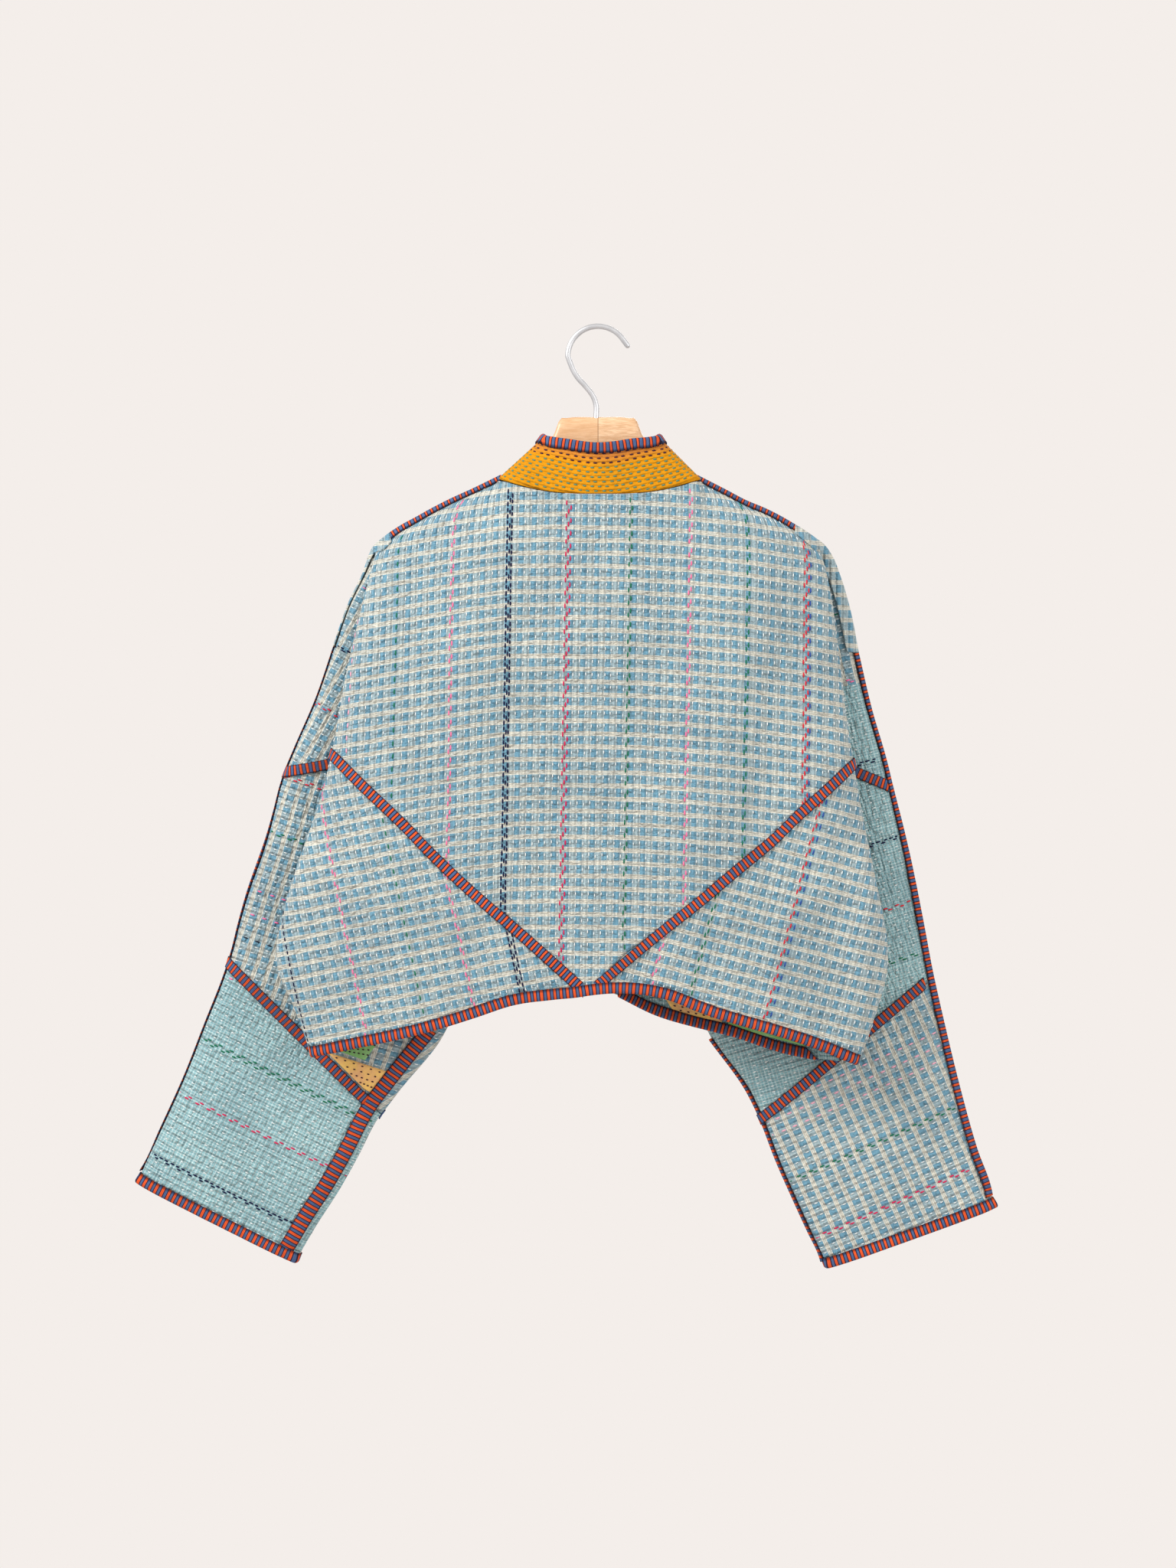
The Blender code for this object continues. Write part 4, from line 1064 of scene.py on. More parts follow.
def sew(name, sewn, node_name):
    """One mesh of plump stitches. Each is a small stretched ball, half sunk in the cloth."""
    ball = bmesh.new()
    bmesh.ops.create_icosphere(ball, subdivisions=1, radius=1.0)
    corners = np.array([vertex.co for vertex in ball.verts])
    faces = np.array([[vertex.index for vertex in face.verts] for face in ball.faces])
    ball.free()
    starts, ends, normals = (np.concatenate(values) for values in (sewn.starts, sewn.ends, sewn.normals))
    colours, halves = np.concatenate(sewn.colours), np.concatenate(sewn.halves)
    run = (ends - starts) / 2
    aside = unit(np.cross(normals, run)) * halves[:, None]
    ways = (run, aside, normals * THREAD_HEIGHT)
    middle = (starts + ends) / 2 + normals * (CLOTH / 2 + THREAD_LIFT)
    balls = sum(corners[None, :, k, None] * way[:, None] for k, way in enumerate(ways)) + middle[:, None]
    mesh = bpy.data.meshes.new(name)
    joined = faces[None] + np.arange(len(middle))[:, None, None] * len(corners)
    mesh.from_pydata((balls.reshape(-1, 3) * MM).tolist(), [], joined.reshape(-1, 3).tolist())
    dye = mesh.color_attributes.new("dye", "FLOAT_COLOR", "POINT")
    dye.data.foreach_set("color", np.repeat(colours, len(corners), axis=0).ravel())
    mesh.shade_smooth()
    return put(name, mesh, THREAD, node_name, whole=False)


# Materials.


def new_node(tree, kind, inputs=(), **settings):
    """A node with its settings. An input that is a socket is linked, and any other is a value."""
    made = tree.nodes.new(kind)
    for key, value in settings.items():
        setattr(made, key, value)
    for key, value in dict(inputs).items():
        if isinstance(value, bpy.types.NodeSocket):
            tree.links.new(value, made.inputs[key])
        else:
            made.inputs[key].default_value = value
    return made


def work(tree, operation, *values):
    """The output of one Math node."""
    return new_node(tree, "ShaderNodeMath", enumerate(values), operation=operation).outputs[0]


def repeated(tree, value, size):
    """How far into a repeat of that size a value lies, from 0 to 1."""
    return work(tree, "FRACT", work(tree, "DIVIDE", value, size))


def blend(tree, share, first, second, kind="MIX"):
    """The output of one colour Mix node, whose inputs 0, 6 and 7 are its share and its two colours."""
    colours = [(*colour, 1) if isinstance(colour, tuple) else colour for colour in (first, second)]
    inputs = zip((0, 6, 7), (share, *colours))
    return new_node(tree, "ShaderNodeMix", inputs, data_type="RGBA", blend_type=kind).outputs[2]


def ramp(tree, value, stops):
    """The colour that a value reads between rising stops of (place, colour)."""
    made = new_node(tree, "ShaderNodeValToRGB", {0: value})
    band = made.color_ramp.elements
    for spot, _ in stops[2:]:
        band.new(spot)
    for element, (spot, colour) in zip(band, stops):
        element.position = spot
        element.color = (*colour, 1)
    return made.outputs[0]


def tinted(tree, colour, value, stops, share=1.0):
    """A colour multiplied by what a value reads on a ramp."""
    return blend(tree, share, colour, ramp(tree, value, stops), "MULTIPLY")


def cloth_noise(tree, place, scale, detail, stretch=(1, 1, 1)):
    """Soft noise at a place, packed closer along a direction by its stretch."""
    mapped = new_node(tree, "ShaderNodeMapping", {"Vector": place, "Scale": stretch}).outputs[0]
    inputs = {"Vector": mapped, "Scale": scale, "Detail": detail}
    return new_node(tree, "ShaderNodeTexNoise", inputs).outputs[0]


def bumped(tree, shader, height, depth):
    bump = new_node(tree, "ShaderNodeBump", {"Height": height, "Distance": depth, "Strength": 1.0})
    tree.links.new(bump.outputs[0], shader["Normal"])


def new_group(name, inputs, outputs):
    """An empty node group, and the sockets inside it."""
    tree = bpy.data.node_groups.new(name, "ShaderNodeTree")
    for in_out, sockets in (("INPUT", inputs), ("OUTPUT", outputs)):
        for label, kind in sockets:
            tree.interface.new_socket(label, in_out=in_out, socket_type=kind)
    return tree, tree.nodes.new("NodeGroupInput").outputs, tree.nodes.new("NodeGroupOutput").inputs


def grouped(tree, group, inputs):
    """The outputs of a node group placed in a material."""
    return new_node(tree, "ShaderNodeGroup", inputs, node_tree=group).outputs


FLOAT, COLOUR, VECTOR = "NodeSocketFloat", "NodeSocketColor", "NodeSocketVector"
NONE, FULL = (0, 0, 0), (1, 1, 1)

# Finishes rougher than this have little gloss, as cloth has.
MATT = 0.7
CLOTH_GLOSS = 0.2

BLUE = (0.165, 0.375, 0.510)
GREY_BLUE = (0.350, 0.480, 0.525)
CREAM = (0.920, 0.850, 0.690)
CREAM_BLUE = (0.560, 0.680, 0.700)
TAN_LINE = (0.400, 0.360, 0.280)
AQUA_DEEP = (0.255, 0.500, 0.545)
AQUA_PALE = (0.640, 0.800, 0.800)
# Painted shade: the colour that the dips between rows of quilting are darkened towards.
HOLLOW_PAINTED_SHADE = (0.10, 0.16, 0.20)

# Repeats of the two weaves across and along the cloth, and of the dents that stitches pull, in metres.
CHECK_REPEAT = (0.0118, 0.0120)
AQUA_REPEAT = (0.0024, 0.0034)
DENT_REPEAT = 0.006

# Heights of the relief's parts against its hills between two rows of quilting, and its whole depth.
CRINKLE_HEIGHT = 3.4
SLUB_HEIGHT = 0.45
QUILTING_DEPTH = 0.0027


def check_weave():
    """Woven check: blue and grey-blue columns crossed by three cream lines with tan ones between them."""
    tree, given, out = new_group("check_weave", [("Across", FLOAT), ("Along", FLOAT)], [("Color", COLOUR)])
    column, band = (repeated(tree, given[k], CHECK_REPEAT[k]) for k in (0, 1))
    warp = ramp(tree, column, [
        (0.0, BLUE), (0.42, BLUE), (0.46, CREAM_BLUE), (0.50, GREY_BLUE), (0.66, GREY_BLUE),
        (0.69, CREAM_BLUE), (0.72, GREY_BLUE), (0.93, GREY_BLUE), (0.97, CREAM_BLUE),
    ])
    cream = ramp(tree, band, [
        (0.0, NONE), (0.585, NONE), (0.610, FULL), (0.685, FULL), (0.710, NONE), (0.740, FULL),
        (0.815, FULL), (0.840, NONE), (0.870, FULL), (0.945, FULL), (0.970, NONE),
    ])
    tan = ramp(tree, band, [
        (0.0, NONE), (0.685, NONE), (0.710, FULL), (0.740, NONE), (0.815, NONE), (0.840, FULL), (0.870, NONE),
    ])
    struck = blend(tree, work(tree, "MULTIPLY", tan, 0.75), warp, TAN_LINE)
    tree.links.new(blend(tree, work(tree, "MULTIPLY", cream, 0.80), struck, CREAM), out[0])
    return tree


def aqua_weave():
    """A fine aqua cloth with a small pale grid."""
    tree, given, out = new_group("aqua_weave", [("Across", FLOAT), ("Along", FLOAT)], [("Color", COLOUR)])
    lines = [repeated(tree, given[k], AQUA_REPEAT[k]) for k in (0, 1)]
    stops = [(0.0, NONE), (0.55, NONE), (0.75, FULL), (0.92, FULL), (1.0, NONE)]
    pale = [ramp(tree, line, stops) for line in lines]
    share = work(tree, "MULTIPLY", work(tree, "ADD", pale[0], pale[1]), 0.55)
    tree.links.new(blend(tree, share, AQUA_DEEP, AQUA_PALE), out[0])
    return tree


def quilting_relief():
    """Height of hand quilting: hills between rows of stitches, crinkles, and the threads of the weave; and
    how far down between two hills a point lies, which the cloth darkens as painted shade.
    """
    tree, given, out = new_group("quilting_relief", [("Across", FLOAT), ("Along", FLOAT), ("Cloth", VECTOR)],
                                 [("Height", FLOAT), ("Hollow", FLOAT)])
    turn = work(tree, "MULTIPLY", given[0], 2 * math.pi / (ROW_SPACING * MM))
    hill = work(tree, "MULTIPLY_ADD", work(tree, "COSINE", turn), -0.5, 0.5)
    turn = work(tree, "MULTIPLY", given[1], 2 * math.pi / DENT_REPEAT)
    bead = work(tree, "MULTIPLY_ADD", work(tree, "SINE", turn), 0.22, 0.78)
    crinkle = cloth_noise(tree, given[2], 130.0, 4.0, (1.0, 1.9, 1.0))
    slub = cloth_noise(tree, given[2], 620.0, 2.0, (1.0, 0.25, 1.0))
    height = work(tree, "MULTIPLY_ADD", hill, bead, work(tree, "MULTIPLY", crinkle, CRINKLE_HEIGHT))
    height = work(tree, "MULTIPLY_ADD", slub, SLUB_HEIGHT, height)
    tree.links.new(height, out[0])
    tree.links.new(work(tree, "SUBTRACT", 1.0, hill), out[1])
    return tree


def wear():
    """Uneven fading of old cloth, and the streaks of its single threads."""
    tree, given, out = new_group("wear", [("Cloth", VECTOR)], [("Fade", FLOAT), ("Thread", FLOAT)])
    tree.links.new(cloth_noise(tree, given[0], 13.0, 4.0), out[0])
    tree.links.new(cloth_noise(tree, given[0], 420.0, 2.0, (1.0, 0.06, 1.0)), out[1])
    return tree


CHECK_WEAVE, AQUA_WEAVE, QUILTING_RELIEF, WEAR = check_weave(), aqua_weave(), quilting_relief(), wear()


def new_material(name, roughness):
    """A material, its tree and its Principled shader's inputs."""
    made = bpy.data.materials.new(name)
    made.use_nodes = True
    shader = made.node_tree.nodes["Principled BSDF"].inputs
    shader["Roughness"].default_value = roughness
    if roughness > MATT:
        shader["Specular IOR Level"].default_value = CLOTH_GLOSS
    return made, made.node_tree, shader


def layout_of(tree):
    """The flat layout as a vector, and its two directions, in metres."""
    cloth = new_node(tree, "ShaderNodeUVMap", uv_map="cloth").outputs[0]
    split = new_node(tree, "ShaderNodeSeparateXYZ", {0: cloth})
    return cloth, split.outputs[0], split.outputs[1]


def quilted_cloth(name, aqua_from=None):
    """Old quilted cotton: check, or aqua from one place of its layout on, with painted shade between the
    hills of its quilting.
    """
    made, tree, shader = new_material(name, 0.92)
    cloth, across, along = layout_of(tree)
    relief = grouped(tree, QUILTING_RELIEF, {"Across": across, "Along": along, "Cloth": cloth})
    wave = work(tree, "MULTIPLY_ADD", cloth_noise(tree, cloth, 28.0, 2.0), 0.0026, -0.0013)
    inputs = {"Across": work(tree, "ADD", across, wave), "Along": work(tree, "ADD", along, wave)}
    colour = grouped(tree, CHECK_WEAVE, inputs)[0]
    if aqua_from is not None:
        change = work(tree, "GREATER_THAN", across, aqua_from * MM)
        colour = blend(tree, change, colour, grouped(tree, AQUA_WEAVE, inputs)[0])
    worn = grouped(tree, WEAR, {"Cloth": cloth})
    colour = tinted(tree, colour, worn[0], [(0.25, (0.80, 0.83, 0.85)), (0.75, (1.12, 1.10, 1.08))])
    colour = tinted(tree, colour, worn[1], [(0.30, (0.80, 0.82, 0.84)), (0.72, (1.14, 1.12, 1.10))], 0.8)
    # Painted shade: the cloth is darkened where it dips between two rows of quilting.
    painted_shade_share = work(tree, "MULTIPLY", relief[1], 0.20)
    tree.links.new(blend(tree, painted_shade_share, colour, HOLLOW_PAINTED_SHADE), shader["Base Color"])
    shader["Sheen Weight"].default_value = 0.15
    shader["Sheen Roughness"].default_value = 0.6
    bumped(tree, shader, relief[0], QUILTING_DEPTH)
    return made


ORANGE = (0.730, 0.094, 0.020)
SLATE_BLUE = (0.070, 0.128, 0.270)
STRIPE_LINE = (0.024, 0.012, 0.034)
# Painted shade along both edges of a binding, and the binding's width that it is measured across.
BINDING_EDGE_PAINTED_SHADE = (0.30, 0.28, 0.32)
BINDING_WIDTH = 9.6
STRIPE_REPEAT = 0.0061

# Shares of a repeat from the middle of a dark line to where it fades and to where it ends.
LINE_FADE, LINE_END = 0.052, 0.100


def striped_cloth(orange):
    """Striped bias binding: a share of orange, then slate blue, parted by fine dark lines, with painted shade
    along both edges.
    """
    made, tree, shader = new_material(f"striped_cloth_{round(orange * 100)}", 0.88)
    cloth, run, across = layout_of(tree)
    wander = work(tree, "MULTIPLY_ADD", cloth_noise(tree, cloth, 60.0, 2.0), 0.0022, run)
    colour = ramp(tree, repeated(tree, wander, STRIPE_REPEAT), [
        (0.0, STRIPE_LINE), (LINE_FADE, STRIPE_LINE), (LINE_END, ORANGE), (orange - LINE_END, ORANGE),
        (orange - LINE_FADE, STRIPE_LINE), (orange + LINE_FADE, STRIPE_LINE), (orange + LINE_END, SLATE_BLUE),
        (1 - LINE_END, SLATE_BLUE), (1 - LINE_FADE, STRIPE_LINE), (1.0, STRIPE_LINE),
    ])
    worn = grouped(tree, WEAR, {"Cloth": cloth})
    colour = tinted(tree, colour, worn[0], [(0.2, (0.72, 0.72, 0.76)), (0.8, (1.15, 1.12, 1.10))])
    # Painted shade: both edges of the binding are darkened.
    colour = tinted(tree, colour, work(tree, "DIVIDE", across, BINDING_WIDTH * MM), [
        (0.0, BINDING_EDGE_PAINTED_SHADE), (0.04, BINDING_EDGE_PAINTED_SHADE), (0.13, FULL), (0.87, FULL), (0.96, BINDING_EDGE_PAINTED_SHADE),
    ])
    tree.links.new(colour, shader["Base Color"])
    rib = work(tree, "SINE", work(tree, "MULTIPLY", wander, 4 * math.pi / STRIPE_REPEAT))
    slub = cloth_noise(tree, cloth, 500.0, 3.0)
    bumped(tree, shader, work(tree, "MULTIPLY_ADD", rib, 0.35, work(tree, "MULTIPLY", slub, 1.4)), 0.0006)
    return made


OCHRE = (0.660, 0.268, 0.002)
OCHRE_TOP = (0.560, 0.180, 0.040)
OCHRE_FADE = 0.030


def collar_cloth():
    """Ochre quilted cotton that fades to tan-orange near the top edge."""
    made, tree, shader = new_material("collar_cloth", 0.9)
    cloth, across, _ = layout_of(tree)
    worn = grouped(tree, WEAR, {"Cloth": cloth})
    top = work(tree, "MULTIPLY_ADD", worn[0], 0.010, across)
    colour = ramp(tree, work(tree, "DIVIDE", top, OCHRE_FADE), [(0.42, OCHRE_TOP), (0.85, OCHRE)])
    colour = tinted(tree, colour, worn[0], [(0.25, (0.82, 0.82, 0.82)), (0.75, (1.10, 1.10, 1.10))])
    tree.links.new(colour, shader["Base Color"])
    turn = work(tree, "MULTIPLY", across, 2 * math.pi / (COLLAR_ROWS_APART * MM))
    hill = work(tree, "MULTIPLY", work(tree, "COSINE", turn), -0.5)
    crinkle = cloth_noise(tree, cloth, 160.0, 4.0, (1.6, 1.0, 1.0))
    bumped(tree, shader, work(tree, "MULTIPLY_ADD", crinkle, 2.4, hill), 0.0010)
    return made


def patch_cloth(name, first, second):
    """A small plain patch, blotched with two colours."""
    made, tree, shader = new_material(name, 0.92)
    cloth = layout_of(tree)[0]
    blotch = cloth_noise(tree, cloth, 90.0, 4.0)
    tree.links.new(ramp(tree, blotch, [(0.35, first), (0.65, second)]), shader["Base Color"])
    bumped(tree, shader, cloth_noise(tree, cloth, 300.0, 4.0), 0.0010)
    return made


def thread_finish():
    """Cotton embroidery thread, dyed as its stitch says."""
    made, tree, shader = new_material("cotton_thread", 0.75)
    dye = new_node(tree, "ShaderNodeVertexColor", layer_name="dye").outputs[0]
    place = new_node(tree, "ShaderNodeTexCoord").outputs["Object"]
    ply = cloth_noise(tree, place, 1500.0, 2.0)
    colour = tinted(tree, dye, ply, [(0.3, (0.82, 0.82, 0.82)), (0.7, (1.08, 1.08, 1.08))])
    tree.links.new(colour, shader["Base Color"])
    bumped(tree, shader, ply, 0.0003)
    return made


BEECH_DARK, BEECH_PALE = (0.610, 0.370, 0.195), (0.810, 0.570, 0.360)
BEECH_FLECK, BEECH_LEFT, GLUE = (0.50, 0.26, 0.11), (0.60, 0.33, 0.15), (0.20, 0.09, 0.03)
GLUE_HALF = 0.0004


def wood_finish():
    """Clear-lacquered beech in two glued halves, the left one a little darker."""
    made, tree, shader = new_material("hanger_wood", 0.42)
    place = new_node(tree, "ShaderNodeTexCoord").outputs["Object"]
    grain = cloth_noise(tree, place, 55.0, 5.0, (0.35, 3.0, 3.0))
    fleck = cloth_noise(tree, place, 420.0, 2.0, (0.25, 2.0, 2.0))
    colour = ramp(tree, grain, [(0.30, BEECH_DARK), (0.70, BEECH_PALE)])
    fleck = work(tree, "MULTIPLY", ramp(tree, fleck, [(0.40, NONE), (0.62, FULL)]), 0.55)
    colour = blend(tree, fleck, colour, BEECH_FLECK)
    side = new_node(tree, "ShaderNodeSeparateXYZ", {0: place}).outputs[0]
    left = work(tree, "LESS_THAN", side, 0.0)
    colour = blend(tree, work(tree, "MULTIPLY", left, 0.40), colour, BEECH_LEFT)
    glue_line = work(tree, "LESS_THAN", work(tree, "ABSOLUTE", side), GLUE_HALF)
    colour = blend(tree, work(tree, "MULTIPLY", glue_line, 0.7), colour, GLUE)
    tree.links.new(colour, shader["Base Color"])
    shader["Coat Weight"].default_value = 0.25
    shader["Coat Roughness"].default_value = 0.3
    bumped(tree, shader, grain, 0.0004)
    return made


def metal_finish():
    """Satin aluminium wire, lightly scuffed."""
    made, tree, shader = new_material("hook_metal", 0.3)
    place = new_node(tree, "ShaderNodeTexCoord").outputs["Object"]
    scuff = cloth_noise(tree, place, 90.0, 2.0)
    rough = new_node(tree, "ShaderNodeMapRange", {0: scuff, 3: 0.42, 4: 0.52}).outputs[0]
    tree.links.new(rough, shader["Roughness"])
    colour = ramp(tree, scuff, [(0.3, (0.56, 0.57, 0.59)), (0.7, (0.66, 0.67, 0.69))])
    tree.links.new(colour, shader["Base Color"])
    shader["Metallic"].default_value = 0.9
    return made


# The garment.

# The collar's rows of stitches, from its binding down: three plum ones first, then sage ones.
COLLAR_ROWS_APART = 4.5
COLLAR_STITCH_PITCH = 7.4
COLLAR_STITCH = 4.4
PLUM_ROWS = (2, 3, 4)

# Steps between points of a binding, along it and across it.
TAPE_STEP = 2.0
TAPE_ROW_STEP = 1.6

# How far each panel's cloth is turned from straight down, in degrees.
YOKE_LEAN = -1.0
LOWER_LEAN = {"left": 12.0, "right": -15.0}
SLEEVE_LEAN = {
    "left": {"upper": -30, "middle": -18, "cuff": -26},
    "right": {"upper": 14, "middle": 17, "cuff": 24},
}

# Coloured lines of quilting: a point (x, z) that each runs through, its thread and its rows.
YOKE_LINES = [
    ((-236, -330), "light_pink", 1), ((-189, -210), "green", 1), ((-135, -180), "pink", 2),
    ((-82, -157), "navy", 3), ((-27, -160), "crimson", 3), ((31, -160), "green", 2), ((87, -157), "pink", 2),
    ((141, -180), "green", 2), ((198, -205), "red", 3), ((202, -205), "blue", 1),
]
LOWER_LINES = {
    "left": [((-262, -454), "pink", 2), ((-142, -514), "pink", 2), ((-83, -565), "navy", 3),
             ((-201, -461), "green", 1), ((-298, -567), "navy", 1)],
    "right": [((211, -439), "red", 2), ((216, -439), "blue", 1), ((64, -561), "pink", 2),
              ((116, -511), "green", 2)],
}
FRONT_LINES = [((30, -300), "pink", 2), ((84, -300), "green", 2), ((138, -300), "crimson", 2),
               ((190, -300), "navy", 3)]
SLEEVE_LINES = {
    "left": {
        "upper": [((-229, -238), "pink", 1), ((-248, -297), "navy", 2), ((-268, -351), "red", 2)],
        "middle": [((-293, -422), "red", 2), ((-313, -473), "green", 2), ((-325, -529), "pink", 1),
                   ((-329, -552), "pink", 1), ((-335, -574), "dark", 1)],
        "cuff": [((-378, -669), "green", 3), ((-399, -721), "crimson", 2), ((-425, -779), "navy", 2),
                 ((-353, -611), "pink", 1)],
    },
    "right": {
        "upper": [((220, -269), "green", 1), ((232, -332), "pink", 2), ((248, -409), "navy", 2)],
        "middle": [((256, -487), "navy", 2), ((268, -549), "red", 2), ((286, -595), "green", 2)],
        "cuff": [((249, -696), "light_pink", 1), ((254, -708), "light_pink", 1),
                 ((259, -720), "light_pink", 1), ((184, -804), "green", 2), ((207, -858), "crimson", 2)],
    },
}

# The soft cloth over the shoulder's tip: between which two places of the shoulder's binding it lies,
# and how much further than the binding it reaches at the back.
HEAD_SPAN = {"left": (6, 12), "right": (5, 12)}
HEAD_REACH = 4.0

# How much narrower the back of the arm's binding is, at its top and at the cuff, where it is rolled to
# the front.
ARM_TAPE_ROLL = {"left": (0.0, 0.0), "right": (0.45, 0.09)}

# How far the collar's top edge sags at the middle of the back, and half the width of the sag.
COLLAR_SAG = 4.0
COLLAR_SAG_REACH = 42.0

# Where the V seam's two bindings end at the hem, and how far those ends are set in.
V_TIPS = {"left": (-14.0, -619.5), "right": (-4.0, -618.0)}
V_TIP_DEPTH = 0.9

# How far the seams' bindings run on at the arm line and at the under-arm line.
SEAM_REACH = {
    ("midarm", "left"): (4.0, 4.0), ("midarm", "right"): (4.0, 4.0),
    ("elbow", "left"): (4.0, 14.0), ("elbow", "right"): (4.0, 6.0),
}

# Sleeve sections of aqua cloth, and where the right upper one changes from check to aqua.
AQUA_PANELS = {"left": ("cuff",), "right": ("middle",)}
RIGHT_UPPER_CHANGE = (232, -336)

# Each sheet of cloth, by its panel: its piece, its flat cut and the pieces sewn to it.
SHEETS = {}


def flat_cut(width, length, points):
    """A piece's flat size and area in metres, as its sheet states them."""
    steps = np.cross(points[1:, :-1] - points[:-1, :-1], points[:-1, 1:] - points[:-1, :-1])
    area = np.linalg.norm(steps, axis=-1).sum() * MM * MM
    return {"flat": (width, length), "area": min(area, width * length)}


def cloth_panel(panel, finish, sewn):
    """A panel's cloth with its stitches."""
    name = f"cloth_{panel.name}"
    layout = np.stack([panel.across, panel.along], axis=-1)
    piece = put(name, surface(name, panel.points, layout), finish, panel.name)
    give_thickness(piece, CLOTH)
    width, length = (np.ptp(grid) * MM for grid in (panel.across, panel.along))
    cut = flat_cut(width, length, panel.points)
    SHEETS[panel.name] = (piece, cut, [sew(f"stitches_{panel.name}", sewn, panel.name)])


def longer(strip, start=0.0, end=0.0, sink=0.9):
    """A strip run on by some millimetres at its ends, where it is tucked under the next one."""
    ahead = strip[:, :1] + unit(strip[:, :1] - strip[:, 1:2]) * start
    after = strip[:, -1:] + unit(strip[:, -1:] - strip[:, -2:-1]) * end
    facing_out = unit(np.cross(strip[0, 1] - strip[0, 0], strip[-1, 0] - strip[0, 0]))
    ahead, after = (tip - facing_out * math.copysign(sink, -facing_out[1]) for tip in (ahead, after))
    return np.concatenate([ahead] * (start > 0) + [strip] + [after] * (end > 0), axis=1)


def strip_cut(points):
    """The flat cut of a narrow strip."""
    run = np.linalg.norm(np.diff(points, axis=1), axis=-1).sum(axis=1).max() * MM
    width = np.linalg.norm(np.diff(points, axis=0), axis=-1).sum(axis=0).max() * MM
    return flat_cut(width, run, points)


def binding(name, points, layer, panel, orange=0.48, closed=False, part="tape"):
    """A striped strip on a panel's edge, with stripes measured along its own length."""
    points = hang(dense(points, TAPE_STEP, TAPE_ROW_STEP), layer)
    middle = points[len(points) // 2]
    wide = np.linalg.norm(np.diff(points, axis=0), axis=-1).mean(axis=1)
    slant = ((points - middle) * unit(np.gradient(middle, axis=0))).sum(axis=-1)
    across = np.concatenate([[0], np.cumsum(wide)]) * BINDING_WIDTH / wide.sum()
    run = lengths(middle, 0) + slant
    layout = np.stack([run, np.broadcast_to(across[:, None], run.shape)], axis=-1)
    mesh = surface(f"{part}_{name}", points, layout)
    if closed:
        weld(mesh)
    piece = put(f"{part}_{name}", mesh, STRIPES[orange], name)
    give_thickness(piece, TAPE)
    SHEETS[panel][-1].append(piece)


def make_body():
    """The back yoke, and each side's lower back, fronts and sleeve, with their bindings."""
    yoke = back_yoke()
    middle = len(COLUMNS) + len(WRAP) - 1
    panel = Panel("back_yoke", yoke, "back", YOKE_LEAN, start=0.5)
    cloth_panel(panel, CHECK_CLOTH, quilt(panel, YOKE_LINES, 1))
    halves = {"left": yoke[:, middle::-1], "right": yoke[:, middle:]}
    hems = {}
    for seed, side in enumerate(SIDES, 10):
        name, half = side.name, halves[side.name]
        lower, front, low_front = lower_back(side), front_yoke(side), lower_front(side)
        panel = Panel(f"back_lower_{name}", lower, "back", LOWER_LEAN[name], sign=side.sign)
        cloth_panel(panel, CHECK_CLOTH, quilt(panel, LOWER_LINES[name], seed))
        lines = [((side.sign * x, z), colour, rows) for (x, z), colour, rows in FRONT_LINES]
        for kind, grid, finish in (("yoke", front, CHECK_CLOTH), ("lower", low_front, AQUA_CLOTH)):
            panel = Panel(f"front_{kind}_{name}", grid, "front", sign=side.sign, outward=TO_WALL)
            cloth_panel(panel, finish, quilt(panel, lines, seed + 4))

        # The V seam runs on to its tip at the hem, and is tucked under the sleeve at its other end.
        last = len(COLUMNS) + 1
        strip = seam_between(half, slice(2, last), lower, slice(1, last - 1), TO_VIEWER)
        tip_x, tip_z = V_TIPS[name]
        shift = np.array([tip_x - strip[1, 0, 0], V_TIP_DEPTH, tip_z - strip[1, 0, 2]])
        strip = np.concatenate([strip[:, :1] + shift, strip[:, 1:]], axis=1)
        binding(f"binding_v_{name}", longer(strip, 0.0, 2.0), "back", f"back_lower_{name}")

        span = slice(3, -4)
        strip = longer(seam_between(front, span, low_front, span, TO_WALL), 8.0, 16.0, -0.4)
        binding(f"binding_front_seam_{name}", strip, "front", f"front_lower_{name}")
        strip = edge_strip(low_front[-1, 2:-3], low_front[-2, 2:-3], TO_WALL)
        binding(f"binding_hem_front_{name}", strip, "front", f"front_lower_{name}")
        edge, inside = (np.concatenate([front[:, column], low_front[1:, column]]) for column in (0, 3))
        binding(f"binding_front_{name}", edge_strip(edge, inside, TO_WALL), "front", f"front_yoke_{name}")
        hems[name] = lower[-2:, :len(COLUMNS) - 2]
        make_sleeve(side, half, front, seed)
    inside, edge = np.concatenate([hems["left"][:, ::-1], yoke[-2:, [middle]], hems["right"]], axis=1)
    binding("binding_hem_back", edge_strip(edge, inside, TO_VIEWER), "back", "back_yoke", 0.52)


